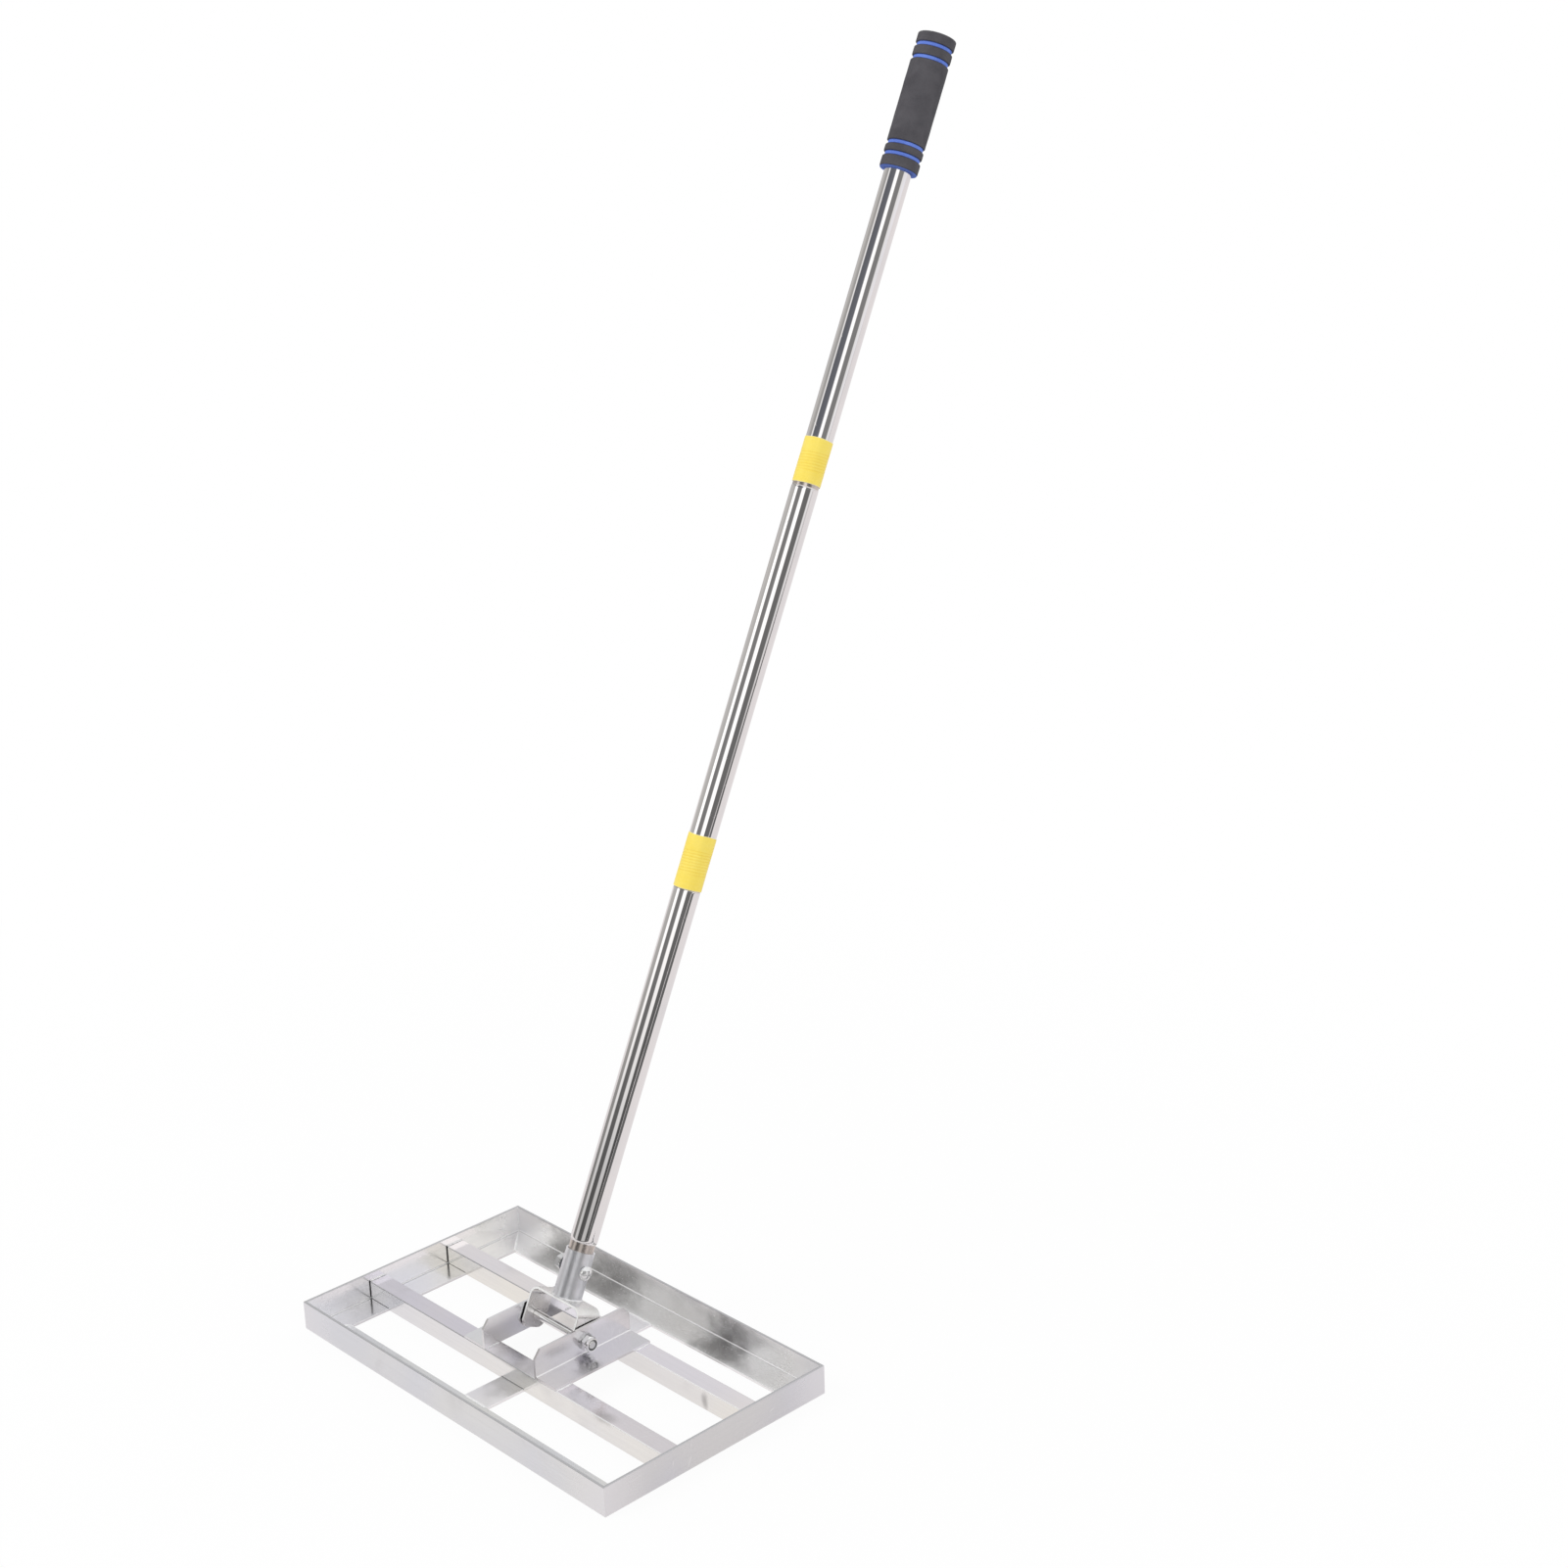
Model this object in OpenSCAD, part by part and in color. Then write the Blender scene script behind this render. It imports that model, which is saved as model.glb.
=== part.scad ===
// Lawn leveling rake. A frame of welded angle bars with two slats across it drags soil level.
// A bolted yoke on top lets the pole tilt, and the pole is three screwed tubes with a foam grip.
// Millimetres, +Z up. X runs along the head's long side and Y from its front to its back.
// The origin is on the ground under the middle of the head.

/* [Head frame] */
// Length of the head along X
head_length = 430; // [300:1:900]
// Width of the head along Y
head_width = 254; // [180:1:400]
// Height of the frame's upright wall
wall_height = 28.5; // [26:0.5:32]
// Width of the flange that turns inward on the ground
flange_width = 31; // [15:0.5:40]
// Thickness of the frame's angle bar and of the strip between its flanges
angle_wall = 2.5; // [1.5:0.1:4]

/* [Slats and strip] */
// Front of the front slat to back of the rear slat
slat_span = 109.5; // [95:0.5:140]
// Height of a slat's upright leg
slat_height = 18; // [12:0.5:20]
// Depth of a slat's top flange
slat_depth = 18.5; // [10:0.5:22]
// Thickness of a slat
slat_wall = 2; // [1:0.1:4]
// Width of the flat strip from the front flange to the back one
strip_width = 32; // [15:0.5:60]
// Distance of the strip's middle line from the head's middle, towards +X
strip_shift = 2.5; // [0:0.5:10]

/* [Pivot brackets] */
// Clear gap between the two upright legs
bracket_gap = 71; // [60:0.5:120]
// Height of an upright leg
bracket_height = 28; // [24:0.5:45]
// Width of a foot flange, with the leg's thickness
bracket_foot = 30; // [15:0.5:60]
// Thickness of a bracket
bracket_wall = 2.5; // [1.5:0.1:4]
// Length of the cut corners of a leg, along Y
snip_length = 6.5; // [2:0.5:12]
// Height of the cut corners of a leg
snip_height = 8; // [2:0.5:12]

/* [Pivot] */
// Height of the pivot over the slats
pivot_rise = 13.5; // [13.5:0.5:16]
// Distance of the pivot from the head's middle, towards the back
pivot_y = 2.8; // [0:0.1:6]
// Lean of the pole from upright, towards the back, in degrees
lean = 25.4; // [0:0.1:60]

/* [Bolts] */
// Diameter of the two bolts
bolt_d = 8; // [5:1:10]
// Width across the flats of heads and nuts
hex_flats = 13; // [8:1:17]
// Diameter of a six-sided face's flat as a share of its width across the flats
hex_face_share = 0.95; // [0.85:0.01:1]
// Height of a bolt head
head_height = 5.3; // [3:0.1:8]
// Bevel of a bolt's end
end_bevel = 0.7; // [0.3:0.1:1]
// Diameter of a flat washer
washer_d = 16; // [10:0.5:24]
// Thickness of a flat washer
washer_t = 1.6; // [0.8:0.1:3]
// Diameter of a friction washer
friction_d = 18; // [12:0.5:24]
// Height of the lock nut's six-sided part
lock_hex = 5.5; // [3:0.1:8]
// Diameter of the lock nut's round collar
collar_d = 12.4; // [11:0.1:13]
// Height of the lock nut's round collar
collar_height = 2.8; // [1.5:0.1:5]
// Height of the plain nut on the clamp screw
nut_height = 6.5; // [3:0.1:8]
// Length of the clamp screw past its nut
screw_end = 1.5; // [0.5:0.1:6]
// Diameter of the clamp screw's round head
round_head_d = 13.5; // [11:0.1:18]
// Height of the round head's rim
round_head_rim = 1.6; // [0.8:0.1:4]
// Height of the round head's dome over its rim
round_head_dome = 3; // [1:0.1:5]
// Length of the cross slots in the round head
recess_length = 7; // [3:0.1:9]
// Width of the cross slots
recess_width = 1.6; // [0.8:0.1:2.5]
// Depth of the cross slots
recess_depth = 2; // [0.8:0.1:2.8]

/* [Yoke and socket] */
// Width of the yoke over its two ears
yoke_width = 68.5; // [54:0.5:69]
// Thickness of the yoke's plate
yoke_wall = 2.5; // [1.5:0.1:4]
// Outer radius of the yoke's bends
bend_radius = 9.5; // [4.5:0.5:12]
// Width of an ear, front to back
ear_width = 27; // [26:0.5:36]
// Reach of an ear below the pivot
ear_drop = 13; // [10:0.5:15]
// Radius of an ear's lower corners
ear_corner = 8; // [2:0.5:9]
// Height of the yoke's top over the pivot
web_top = 27.5; // [25:0.5:31]
// Outer diameter of the socket tube
socket_d = 26.8; // [26:0.1:28]
// Wall of the socket tube
socket_wall = 1.4; // [0.8:0.1:2]
// Length of the socket tube
socket_length = 44.5; // [30:0.5:70]
// Distance of the clamp screw below the socket's top
clamp_below = 17.5; // [10:0.5:25]

/* [Pole] */
// Outer diameter of the tubes
tube_d = 25.4; // [24:0.1:26.5]
// Wall of the tubes
tube_wall = 0.5; // [0.4:0.1:1]
// Length of one section from its shoulder to its top rim
section_length = 374.6; // [250:0.1:500]
// Length of the narrowed neck below a section's shoulder
neck_length = 44; // [30:0.5:55]
// Wall of the narrowed neck
neck_wall = 0.5; // [0.4:0.1:1]
// Length of the lowest neck that shows over the socket
neck_show = 8; // [2:0.5:15]
// Bevel of the shoulder's outer edge
shoulder_bevel = 0.5; // [0.2:0.1:0.6]
// Thickness of the flange of the plug in the top end
plug_flange = 1.5; // [0.8:0.1:4]
// Depth of the plug in the tube
plug_depth = 18; // [8:0.5:40]
// Wall of the plug
plug_wall = 1.5; // [0.8:0.1:4]

/* [Film sleeves] */
// Thickness of the yellow film
film_wall = 0.4; // [0.2:0.05:1.5]
// Length of the lower sleeve
lower_film_length = 50.2; // [30:0.1:90]
// Reach of the lower sleeve below its joint
lower_film_below = 42.4; // [15:0.1:80]
// Length of the upper sleeve
upper_film_length = 41.9; // [30:0.1:90]
// Reach of the upper sleeve below its joint
upper_film_below = 37.3; // [15:0.1:80]

/* [Grip] */
// Length of the foam grip
grip_length = 124; // [100:1:200]
// Diameter of the blue core where it shows in the grooves
core_d = 32.4; // [29:0.1:34]
// Diameter of the dark foam bands
band_d = 35.6; // [34:0.1:44]
// Thickness of the foam over the pole's end
cap_top = 3.2; // [2:0.1:8]
// Height of the top band
top_band = 8; // [6:0.1:15]
// Height of the upper thin band
upper_band = 8.1; // [4:0.1:15]
// Height of the lower thin band
lower_band = 6.4; // [4:0.1:15]
// Height of the bottom band
end_band = 10.4; // [4:0.1:15]
// Width of a groove between two bands
groove = 4; // [1:0.1:8]
// Bevel of a band's edges
band_round = 1; // [0.4:0.1:1.2]

/* [Hidden] */

$fn = 64;
hex_sides = 6;
sections = 3;

// One overrun for every cut
overrun = 2;
// Radial clearance of the yoke's ears on the pivot bolt
pivot_clearance = 0.05;
// Radial clearance of a bolt in a drilled hole
hole_clearance = 0.25;
// Clearance of pieces that are pressed, screwed or glued together
fit_gap = 0.05;
// Radial clearance of a neck in the tube or socket that takes it
neck_gap = 0.25;
// Side clearance between an ear and its friction washer
side_gap = 0.3;
// Wall left round the lock nut's nylon ring
collar_wall = 1;
// Nylon ring: how far it lies below the collar's rim
insert_sink = 0.4;
// Nylon ring: how deep it sits in the nut, below the collar
insert_depth = 0.6;
// How far the bolt's end lies below the collar's rim
end_sink = 0.2;

slat_top = angle_wall + slat_height;
slat_run = head_length - 2 * angle_wall;
leg_in = bracket_gap / 2;
leg_out = leg_in + bracket_wall;
pivot_z = slat_top + pivot_rise;
ear_out = yoke_width / 2;
friction_t = leg_in - ear_out - side_gap;
pivot_length = 2 * leg_out + 2 * washer_t + lock_hex + collar_height - end_sink;
hole_d = bolt_d + 2 * hole_clearance;
hex_corners = hex_flats / cos(180 / hex_sides);
hex_face = hex_flats * hex_face_share;
// The turned corners' cone runs a little past the corners, so the two never share an edge
hex_turned = hex_corners + 2 * fit_gap;
hex_bevel = (hex_turned - hex_face) / 2 * tan(30);
thread_d = bolt_d + 2 * fit_gap;
clamp_u = web_top + socket_length - clamp_below;
clamp_length = socket_d + washer_t + nut_height + screw_end;
dome_radius = (pow(round_head_d / 2, 2) + pow(round_head_dome, 2)) / (2 * round_head_dome);
socket_bore = socket_d - 2 * socket_wall;
shoulder_u = web_top + socket_length + neck_show;
neck_d = min(socket_bore, tube_d - 2 * tube_wall) - 2 * neck_gap;
pole_top = shoulder_u + sections * section_length;
grip_top = pole_top + plug_flange + cap_top;
grip_bottom = grip_top - grip_length;
cover_top = grip_top - top_band - groove - upper_band - groove;
cover_bottom = grip_bottom + end_band + groove + lower_band + groove;

// Places what turns with the pole: local Z runs up the pole from the pivot
module on_handle() {
    translate([0, pivot_y, pivot_z])
        rotate([-lean, 0, 0])
            children();
}

// A six-sided prism along Z with its corners turned off at both faces
module hex(height) {
    intersection() {
        cylinder(d = hex_corners, h = height, $fn = hex_sides);
        rotate_extrude()
            polygon([
                [0, 0],
                [hex_face / 2, 0],
                [hex_turned / 2, hex_bevel],
                [hex_turned / 2, height - hex_bevel],
                [hex_face / 2, height],
                [0, height]
            ]);
    }
}

// A bolt's plain shank along Z with its far end bevelled
module shank(length) {
    cylinder(d = bolt_d, h = length - end_bevel);
    translate([0, 0, length - end_bevel])
        cylinder(d1 = bolt_d, d2 = bolt_d - 2 * end_bevel, h = end_bevel);
}

// A ring along Z
module ring(outer_d, inner_d, height) {
    difference() {
        cylinder(d = outer_d, h = height);
        translate([0, 0, -overrun])
            cylinder(d = inner_d, h = height + 2 * overrun);
    }
}

// A ring of foam with eased outer edges
module soft_ring(outer_d, inner_d, height) {
    rotate_extrude()
        polygon([
            [inner_d / 2, 0],
            [outer_d / 2 - band_round, 0],
            [outer_d / 2, band_round],
            [outer_d / 2, height - band_round],
            [outer_d / 2 - band_round, height],
            [inner_d / 2, height]
        ]);
}

// A bar of angle with mitred ends: its outer face lies on Y = 0 and its flange turns to +Y
module mitred_angle(run) {
    linear_extrude(wall_height)
        polygon([
            [-run / 2, 0],
            [run / 2, 0],
            [run / 2 - angle_wall, angle_wall],
            [-run / 2 + angle_wall, angle_wall]
        ]);
    linear_extrude(angle_wall)
        polygon([
            [-run / 2, 0],
            [run / 2, 0],
            [run / 2 - flange_width, flange_width],
            [-run / 2 + flange_width, flange_width]
        ]);
}

// A slat: an upright leg at the front and a flange on top that runs back
module slat() {
    translate([-slat_run / 2, 0, angle_wall])
        cube([slat_run, slat_wall, slat_height]);
    translate([-slat_run / 2, 0, slat_top - slat_wall])
        cube([slat_run, slat_depth, slat_wall]);
}

// The bracket on the +X side: an upright leg with two cut corners and a foot that turns outward
module bracket() {
    translate([leg_in, 0, slat_top])
        difference() {
            union() {
                rotate([90, 0, 90])
                    linear_extrude(bracket_wall)
                        polygon([
                            [-slat_span / 2, 0],
                            [slat_span / 2, 0],
                            [slat_span / 2, bracket_height - snip_height],
                            [slat_span / 2 - snip_length, bracket_height],
                            [snip_length - slat_span / 2, bracket_height],
                            [-slat_span / 2, bracket_height - snip_height]
                        ]);
                translate([0, -slat_span / 2, 0])
                    cube([bracket_foot, slat_span, bracket_wall]);
            }
            translate([-overrun, pivot_y, pivot_rise])
                rotate([0, 90, 0])
                    cylinder(d = hole_d, h = bracket_wall + 2 * overrun);
        }
}

// An ear of the yoke on the +X side, below its bend
module ear() {
    translate([ear_out - yoke_wall, 0, 0]) {
        translate([0, -ear_width / 2, ear_corner - ear_drop])
            cube([yoke_wall, ear_width, web_top - bend_radius + ear_drop - ear_corner]);
        translate([0, ear_corner - ear_width / 2, -ear_drop])
            cube([yoke_wall, ear_width - 2 * ear_corner, ear_drop]);
        for (side = [-1, 1])
            translate([0, side * (ear_width / 2 - ear_corner), ear_corner - ear_drop])
                rotate([0, 90, 0])
                    cylinder(r = ear_corner, h = yoke_wall);
    }
}

// The quarter bend from an ear on the +X side to the web
module bend() {
    translate([ear_out - bend_radius, ear_width / 2, web_top - bend_radius])
        rotate([90, 0, 0])
            rotate_extrude(angle = 90)
                translate([bend_radius - yoke_wall, 0])
                    square([yoke_wall, ear_width]);
}

// One section of the pole, with Z = 0 on its shoulder: the neck hangs below
module section() {
    neck_r = neck_d / 2;
    tube_r = tube_d / 2;
    rotate_extrude()
        polygon([
            [neck_r - neck_wall, -neck_length],
            [neck_r, -neck_length],
            [neck_r, 0],
            [tube_r - shoulder_bevel, 0],
            [tube_r, shoulder_bevel],
            [tube_r, section_length],
            [tube_r - tube_wall, section_length],
            [tube_r - tube_wall, tube_wall],
            [neck_r - neck_wall, tube_wall]
        ]);
}

// A film sleeve that begins at a height on the pole
module film(start, length) {
    on_handle()
        translate([0, 0, start])
            ring(tube_d + 2 * fit_gap + 2 * film_wall, tube_d + 2 * fit_gap, length);
}

// Moves what is drawn along Z onto the X axis through the pivot, from a distance along X
module on_pivot(from) {
    translate([from, pivot_y, pivot_z])
        rotate([0, 90, 0])
            children();
}

// The same for the clamp screw, in the socket's frame
module on_clamp(from) {
    on_handle()
        translate([from, 0, clamp_u])
            rotate([0, 90, 0])
                children();
}

module front_angle() {
    color("Gainsboro")
        translate([0, -head_width / 2, 0])
            mitred_angle(head_length);
}

module back_angle() {
    color("Gainsboro")
        translate([0, head_width / 2, 0])
            rotate([0, 0, 180])
                mitred_angle(head_length);
}

module left_angle() {
    color("Gainsboro")
        translate([-head_length / 2, 0, 0])
            rotate([0, 0, -90])
                mitred_angle(head_width);
}

module right_angle() {
    color("Gainsboro")
        translate([head_length / 2, 0, 0])
            rotate([0, 0, 90])
                mitred_angle(head_width);
}

module front_slat() {
    color("Gainsboro")
        translate([0, -slat_span / 2, 0])
            slat();
}

module rear_slat() {
    color("Gainsboro")
        translate([0, slat_span / 2 - slat_depth, 0])
            slat();
}

module cross_strip() {
    color("LightGray")
        translate([strip_shift - strip_width / 2, flange_width - head_width / 2, 0])
            cube([strip_width, head_width - 2 * flange_width, angle_wall]);
}

module left_bracket() {
    color("LightGray")
        mirror([1, 0, 0])
            bracket();
}

module right_bracket() {
    color("LightGray")
        bracket();
}

module pivot_bolt() {
    color("Silver") {
        on_pivot(-leg_out - washer_t - head_height)
            hex(head_height);
        on_pivot(-leg_out - washer_t)
            shank(pivot_length);
    }
}

module pivot_washers() {
    color("Silver")
        for (from = [-leg_out - washer_t, leg_out])
            on_pivot(from)
                ring(washer_d, hole_d, washer_t);
}

module friction_washers() {
    color("DimGray")
        for (from = [-leg_in, leg_in - friction_t])
            on_pivot(from)
                ring(friction_d, hole_d, friction_t);
}

module lock_nut() {
    color("Silver")
        on_pivot(leg_out + washer_t)
            difference() {
                union() {
                    hex(lock_hex);
                    cylinder(d = collar_d, h = lock_hex + collar_height);
                }
                translate([0, 0, -overrun])
                    cylinder(d = thread_d, h = lock_hex + collar_height + 2 * overrun);
                translate([0, 0, lock_hex - insert_depth])
                    cylinder(d = collar_d - 2 * collar_wall, h = insert_depth + collar_height + overrun);
            }
}

module lock_nut_insert() {
    color("DarkSlateGray")
        on_pivot(leg_out + washer_t + lock_hex - insert_depth)
            ring(
                collar_d - 2 * collar_wall - 2 * fit_gap,
                thread_d,
                insert_depth + collar_height - insert_sink
            );
}

module yoke() {
    color("LightSteelBlue")
        on_handle()
            difference() {
                union() {
                    for (side = [0, 1])
                        mirror([side, 0, 0]) {
                            ear();
                            bend();
                        }
                    translate([bend_radius - ear_out, -ear_width / 2, web_top - yoke_wall])
                        cube([yoke_width - 2 * bend_radius, ear_width, yoke_wall]);
                }
                translate([-ear_out - overrun, 0, 0])
                    rotate([0, 90, 0])
                        cylinder(d = bolt_d + 2 * pivot_clearance, h = yoke_width + 2 * overrun);
            }
}

module socket_tube() {
    color("LightSteelBlue")
        difference() {
            on_handle()
                translate([0, 0, web_top])
                    ring(socket_d, socket_bore, socket_length);
            on_clamp(-socket_d / 2 - overrun)
                cylinder(d = hole_d, h = socket_d + 2 * overrun);
        }
}

// A round head along Z with a cross in it
module round_head() {
    difference() {
        union() {
            cylinder(d = round_head_d, h = round_head_rim);
            intersection() {
                translate([0, 0, round_head_rim])
                    cylinder(d = round_head_d, h = round_head_dome);
                translate([0, 0, round_head_rim + round_head_dome - dome_radius])
                    sphere(r = dome_radius);
            }
        }
        for (turn = [0, 90])
            rotate([0, 0, turn])
                translate([0, 0, round_head_rim + round_head_dome - recess_depth])
                    translate([-recess_length / 2, -recess_width / 2, 0])
                        cube([recess_length, recess_width, recess_depth + overrun]);
    }
}

module clamp_screw() {
    color("Silver") {
        on_clamp(socket_d / 2)
            round_head();
        on_clamp(socket_d / 2)
            mirror([0, 0, 1])
                shank(clamp_length);
    }
}

module clamp_washer() {
    color("Silver")
        on_clamp(-socket_d / 2 - washer_t)
            ring(washer_d, hole_d, washer_t);
}

module clamp_nut() {
    color("Silver")
        on_clamp(-socket_d / 2 - washer_t - nut_height)
            difference() {
                hex(nut_height);
                translate([0, 0, -overrun])
                    cylinder(d = thread_d, h = nut_height + 2 * overrun);
            }
}

module lower_pole() {
    color("WhiteSmoke")
        difference() {
            on_handle()
                translate([0, 0, shoulder_u])
                    section();
            on_clamp(-socket_d / 2 - overrun)
                cylinder(d = hole_d, h = socket_d + 2 * overrun);
        }
}

module middle_pole() {
    color("WhiteSmoke")
        on_handle()
            translate([0, 0, shoulder_u + section_length])
                section();
}

module upper_pole() {
    color("WhiteSmoke")
        on_handle()
            translate([0, 0, pole_top - section_length])
                section();
}

module lower_sleeve() {
    color("Khaki")
        film(shoulder_u + section_length - lower_film_below, lower_film_length);
}

module upper_sleeve() {
    color("Khaki")
        film(pole_top - section_length - upper_film_below, upper_film_length);
}

module end_plug() {
    color("DimGray")
        on_handle()
            translate([0, 0, pole_top]) {
                cylinder(d = tube_d, h = plug_flange);
                translate([0, 0, -plug_depth])
                    ring(
                        tube_d - 2 * tube_wall - 2 * fit_gap,
                        tube_d - 2 * tube_wall - 2 * fit_gap - 2 * plug_wall,
                        plug_depth
                    );
            }
}

module grip_core() {
    color("CornflowerBlue")
        on_handle()
            translate([0, 0, grip_bottom])
                ring(core_d, tube_d + 2 * fit_gap, grip_length - cap_top);
}

module grip_cap() {
    color("DimGray")
        on_handle()
            difference() {
                translate([0, 0, grip_top - top_band])
                    soft_ring(band_d, 0, top_band);
                translate([0, 0, grip_top - top_band - overrun])
                    cylinder(d = core_d, h = top_band - cap_top + overrun);
            }
}

// A band of dark foam round the core
module band(start, height) {
    color("DimGray")
        on_handle()
            translate([0, 0, start])
                soft_ring(band_d, core_d, height);
}

module grip_upper_ring() {
    band(cover_top + groove, upper_band);
}

module grip_cover() {
    band(cover_bottom, cover_top - cover_bottom);
}

module grip_lower_ring() {
    band(grip_bottom + end_band + groove, lower_band);
}

module grip_end() {
    band(grip_bottom, end_band);
}

front_angle();
back_angle();
left_angle();
right_angle();
front_slat();
rear_slat();
cross_strip();
left_bracket();
right_bracket();
pivot_bolt();
pivot_washers();
friction_washers();
lock_nut();
lock_nut_insert();
yoke();
socket_tube();
clamp_screw();
clamp_washer();
clamp_nut();
lower_pole();
middle_pole();
upper_pole();
lower_sleeve();
upper_sleeve();
end_plug();
grip_core();
grip_cap();
grip_upper_ring();
grip_cover();
grip_lower_ring();
grip_end();
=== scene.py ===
# %% [markdown]
# # A lawn leveling rake
# The rake is a flat frame of welded aluminium angle that is dragged over loose soil. Two slats
# and a strip cross the frame, and a bolted yoke lets the long polished pole tilt. The packed
# solids come in first and stay where they are: every length below is in millimetres in the same
# frame, and what is made here is laid over the solids or takes their place.

# %% Load the solids and keep their box
import math

import bmesh
import bpy
import numpy as np
from mathutils import Matrix


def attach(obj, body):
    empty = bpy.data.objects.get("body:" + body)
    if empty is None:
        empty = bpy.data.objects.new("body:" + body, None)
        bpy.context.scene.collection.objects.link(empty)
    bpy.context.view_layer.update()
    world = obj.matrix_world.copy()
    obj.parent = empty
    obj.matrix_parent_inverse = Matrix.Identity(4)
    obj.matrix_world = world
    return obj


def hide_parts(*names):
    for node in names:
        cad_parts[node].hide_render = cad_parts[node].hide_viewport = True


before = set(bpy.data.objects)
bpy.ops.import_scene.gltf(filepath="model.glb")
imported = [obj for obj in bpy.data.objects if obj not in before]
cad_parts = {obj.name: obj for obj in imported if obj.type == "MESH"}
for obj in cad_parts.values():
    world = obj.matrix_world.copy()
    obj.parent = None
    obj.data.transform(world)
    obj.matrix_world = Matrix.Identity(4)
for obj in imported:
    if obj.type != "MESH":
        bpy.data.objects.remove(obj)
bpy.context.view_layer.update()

MM = 0.001

# %% [markdown]
# ## The camera
# A photograph fixes a camera once a known rectangle is found in it. The head is 430 by 254 mm, so
# its corners and the pole gave the turn, the height, the small roll and the focal length. The
# camera matrix is written straight from those angles: its columns are right, up and backwards.

# %% Camera
IMAGE_SIDE = 1601
FOCAL_PIXELS = 2597.88
SENSOR = 36.0
AZIMUTH, ELEVATION, ROLL = 0.808712, 0.329057, -0.029197
CAMERA_PLACE = (1.61155, -1.23398, 1.23478)


def framed(*columns):
    """A matrix from its columns: right, up, backwards and place."""
    matrix = np.eye(4)
    matrix[:3] = np.column_stack(columns)
    return Matrix(matrix.tolist())


def camera_matrix():
    """Right and up follow from the two view angles, then both turn by the roll about the view."""
    right = np.array([math.cos(AZIMUTH), math.sin(AZIMUTH), 0])
    ahead = np.array([
        -math.sin(AZIMUTH) * math.cos(ELEVATION),
        math.cos(AZIMUTH) * math.cos(ELEVATION),
        -math.sin(ELEVATION),
    ])
    up = np.cross(right, ahead)
    turned_right = right * math.cos(ROLL) + up * math.sin(ROLL)
    turned_up = up * math.cos(ROLL) - right * math.sin(ROLL)
    return framed(turned_right, turned_up, -ahead, CAMERA_PLACE)


def placed(name, data):
    """A new object of the scene, at the origin."""
    made = bpy.data.objects.new(name, data)
    bpy.context.scene.collection.objects.link(made)
    return made


lens = bpy.data.cameras.new("camera")
lens.sensor_width = SENSOR
lens.lens = FOCAL_PIXELS / IMAGE_SIDE * SENSOR
camera = placed("camera", lens)
camera.matrix_world = camera_matrix()
bpy.context.scene.camera = camera
bpy.context.scene.view_settings.view_transform = "Standard"
print("camera lens", round(lens.lens, 2), "mm")

# %% [markdown]
# ## Wiring shader nodes
# Every finish below is a small net of shader nodes. One helper adds a node and either sets or
# links each of its sockets, so that a net reads like a sentence. The shorter ones add what comes
# up most: a mix of two colours, shades laid over a colour, sums of numbers and of vectors, a
# range stretched to run from 0 to 1, and a value that a mesh keeps at its points.


# %% Node helpers
def put(socket, value, tree):
    """Links a socket to another node's output, or else sets its value."""
    if isinstance(value, bpy.types.NodeSocket):
        tree.links.new(value, socket)
    else:
        socket.default_value = value


def node(tree, kind, sockets=None, **settings):
    """Adds one node of a kind, with its settings and its sockets by name or number."""
    made = tree.nodes.new("ShaderNode" + kind)
    for key, value in settings.items():
        setattr(made, key, value)
    for key, value in (sockets or {}).items():
        put(made.inputs[key], value, tree)
    return made


def mix(tree, share, first, second, way="MIX"):
    """The second colour over the first, by a share."""
    made = node(tree, "Mix", {0: share, 6: first, 7: second}, data_type="RGBA", blend_type=way)
    return made.outputs[2]


def sums(tree, way, *values):
    """One arithmetic step, such as MULTIPLY or ADD."""
    return node(tree, "Math", dict(enumerate(values)), operation=way).outputs[0]


def vector(tree, way, *values, out=0):
    """One step with vectors, such as SUBTRACT. Output 1 is the number that a LENGTH gives."""
    return node(tree, "VectorMath", dict(enumerate(values)), operation=way).outputs[out]


def added(tree, value, *parts):
    """Parts added to a value. Each part is a mask and a share of it."""
    for mask, share in parts:
        value = sums(tree, "MULTIPLY_ADD", mask, share, value)
    return value


def over(tree, colour, *layers):
    """Shades laid over a colour in turn. Each layer is a mask, a share of it and a shade."""
    for mask, share, shade in layers:
        colour = mix(tree, sums(tree, "MULTIPLY", mask, share), colour, (*shade, 1))
    return colour


def stored(tree, key):
    """A value that the mesh keeps at its points, such as the painted highlight on its edges."""
    return node(tree, "Attribute", attribute_name=key).outputs["Fac"]


def stretch(tree, value, low, high, to_low=0.0, to_high=1.0):
    """A value's range from low to high, eased into another range and cut off at its ends."""
    sockets = {0: value, 1: low, 2: high, 3: to_low, 4: to_high}
    return node(tree, "MapRange", sockets, interpolation_type="SMOOTHSTEP").outputs[0]


print("node helpers ready")

# %% [markdown]
# ## Light
# The rake was photographed on a white sweep: floor and backdrop are white, and the room on the
# camera's side is dark, with two long soft boxes. That is why the polished pole shows black and
# white stripes. A mirror-bright tube shows only what lies in the plane across it, so the room is
# drawn as bands of longitude round the pole's own direction. The bands fade where the boxes end,
# the part of the room that the pole's top section mirrors has bands of its own, and overhead all
# give way to a white ceiling, brighter on the right. Only glossy rays see the bands: the camera
# sees plain white, and matt surfaces get an even soft light.

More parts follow.
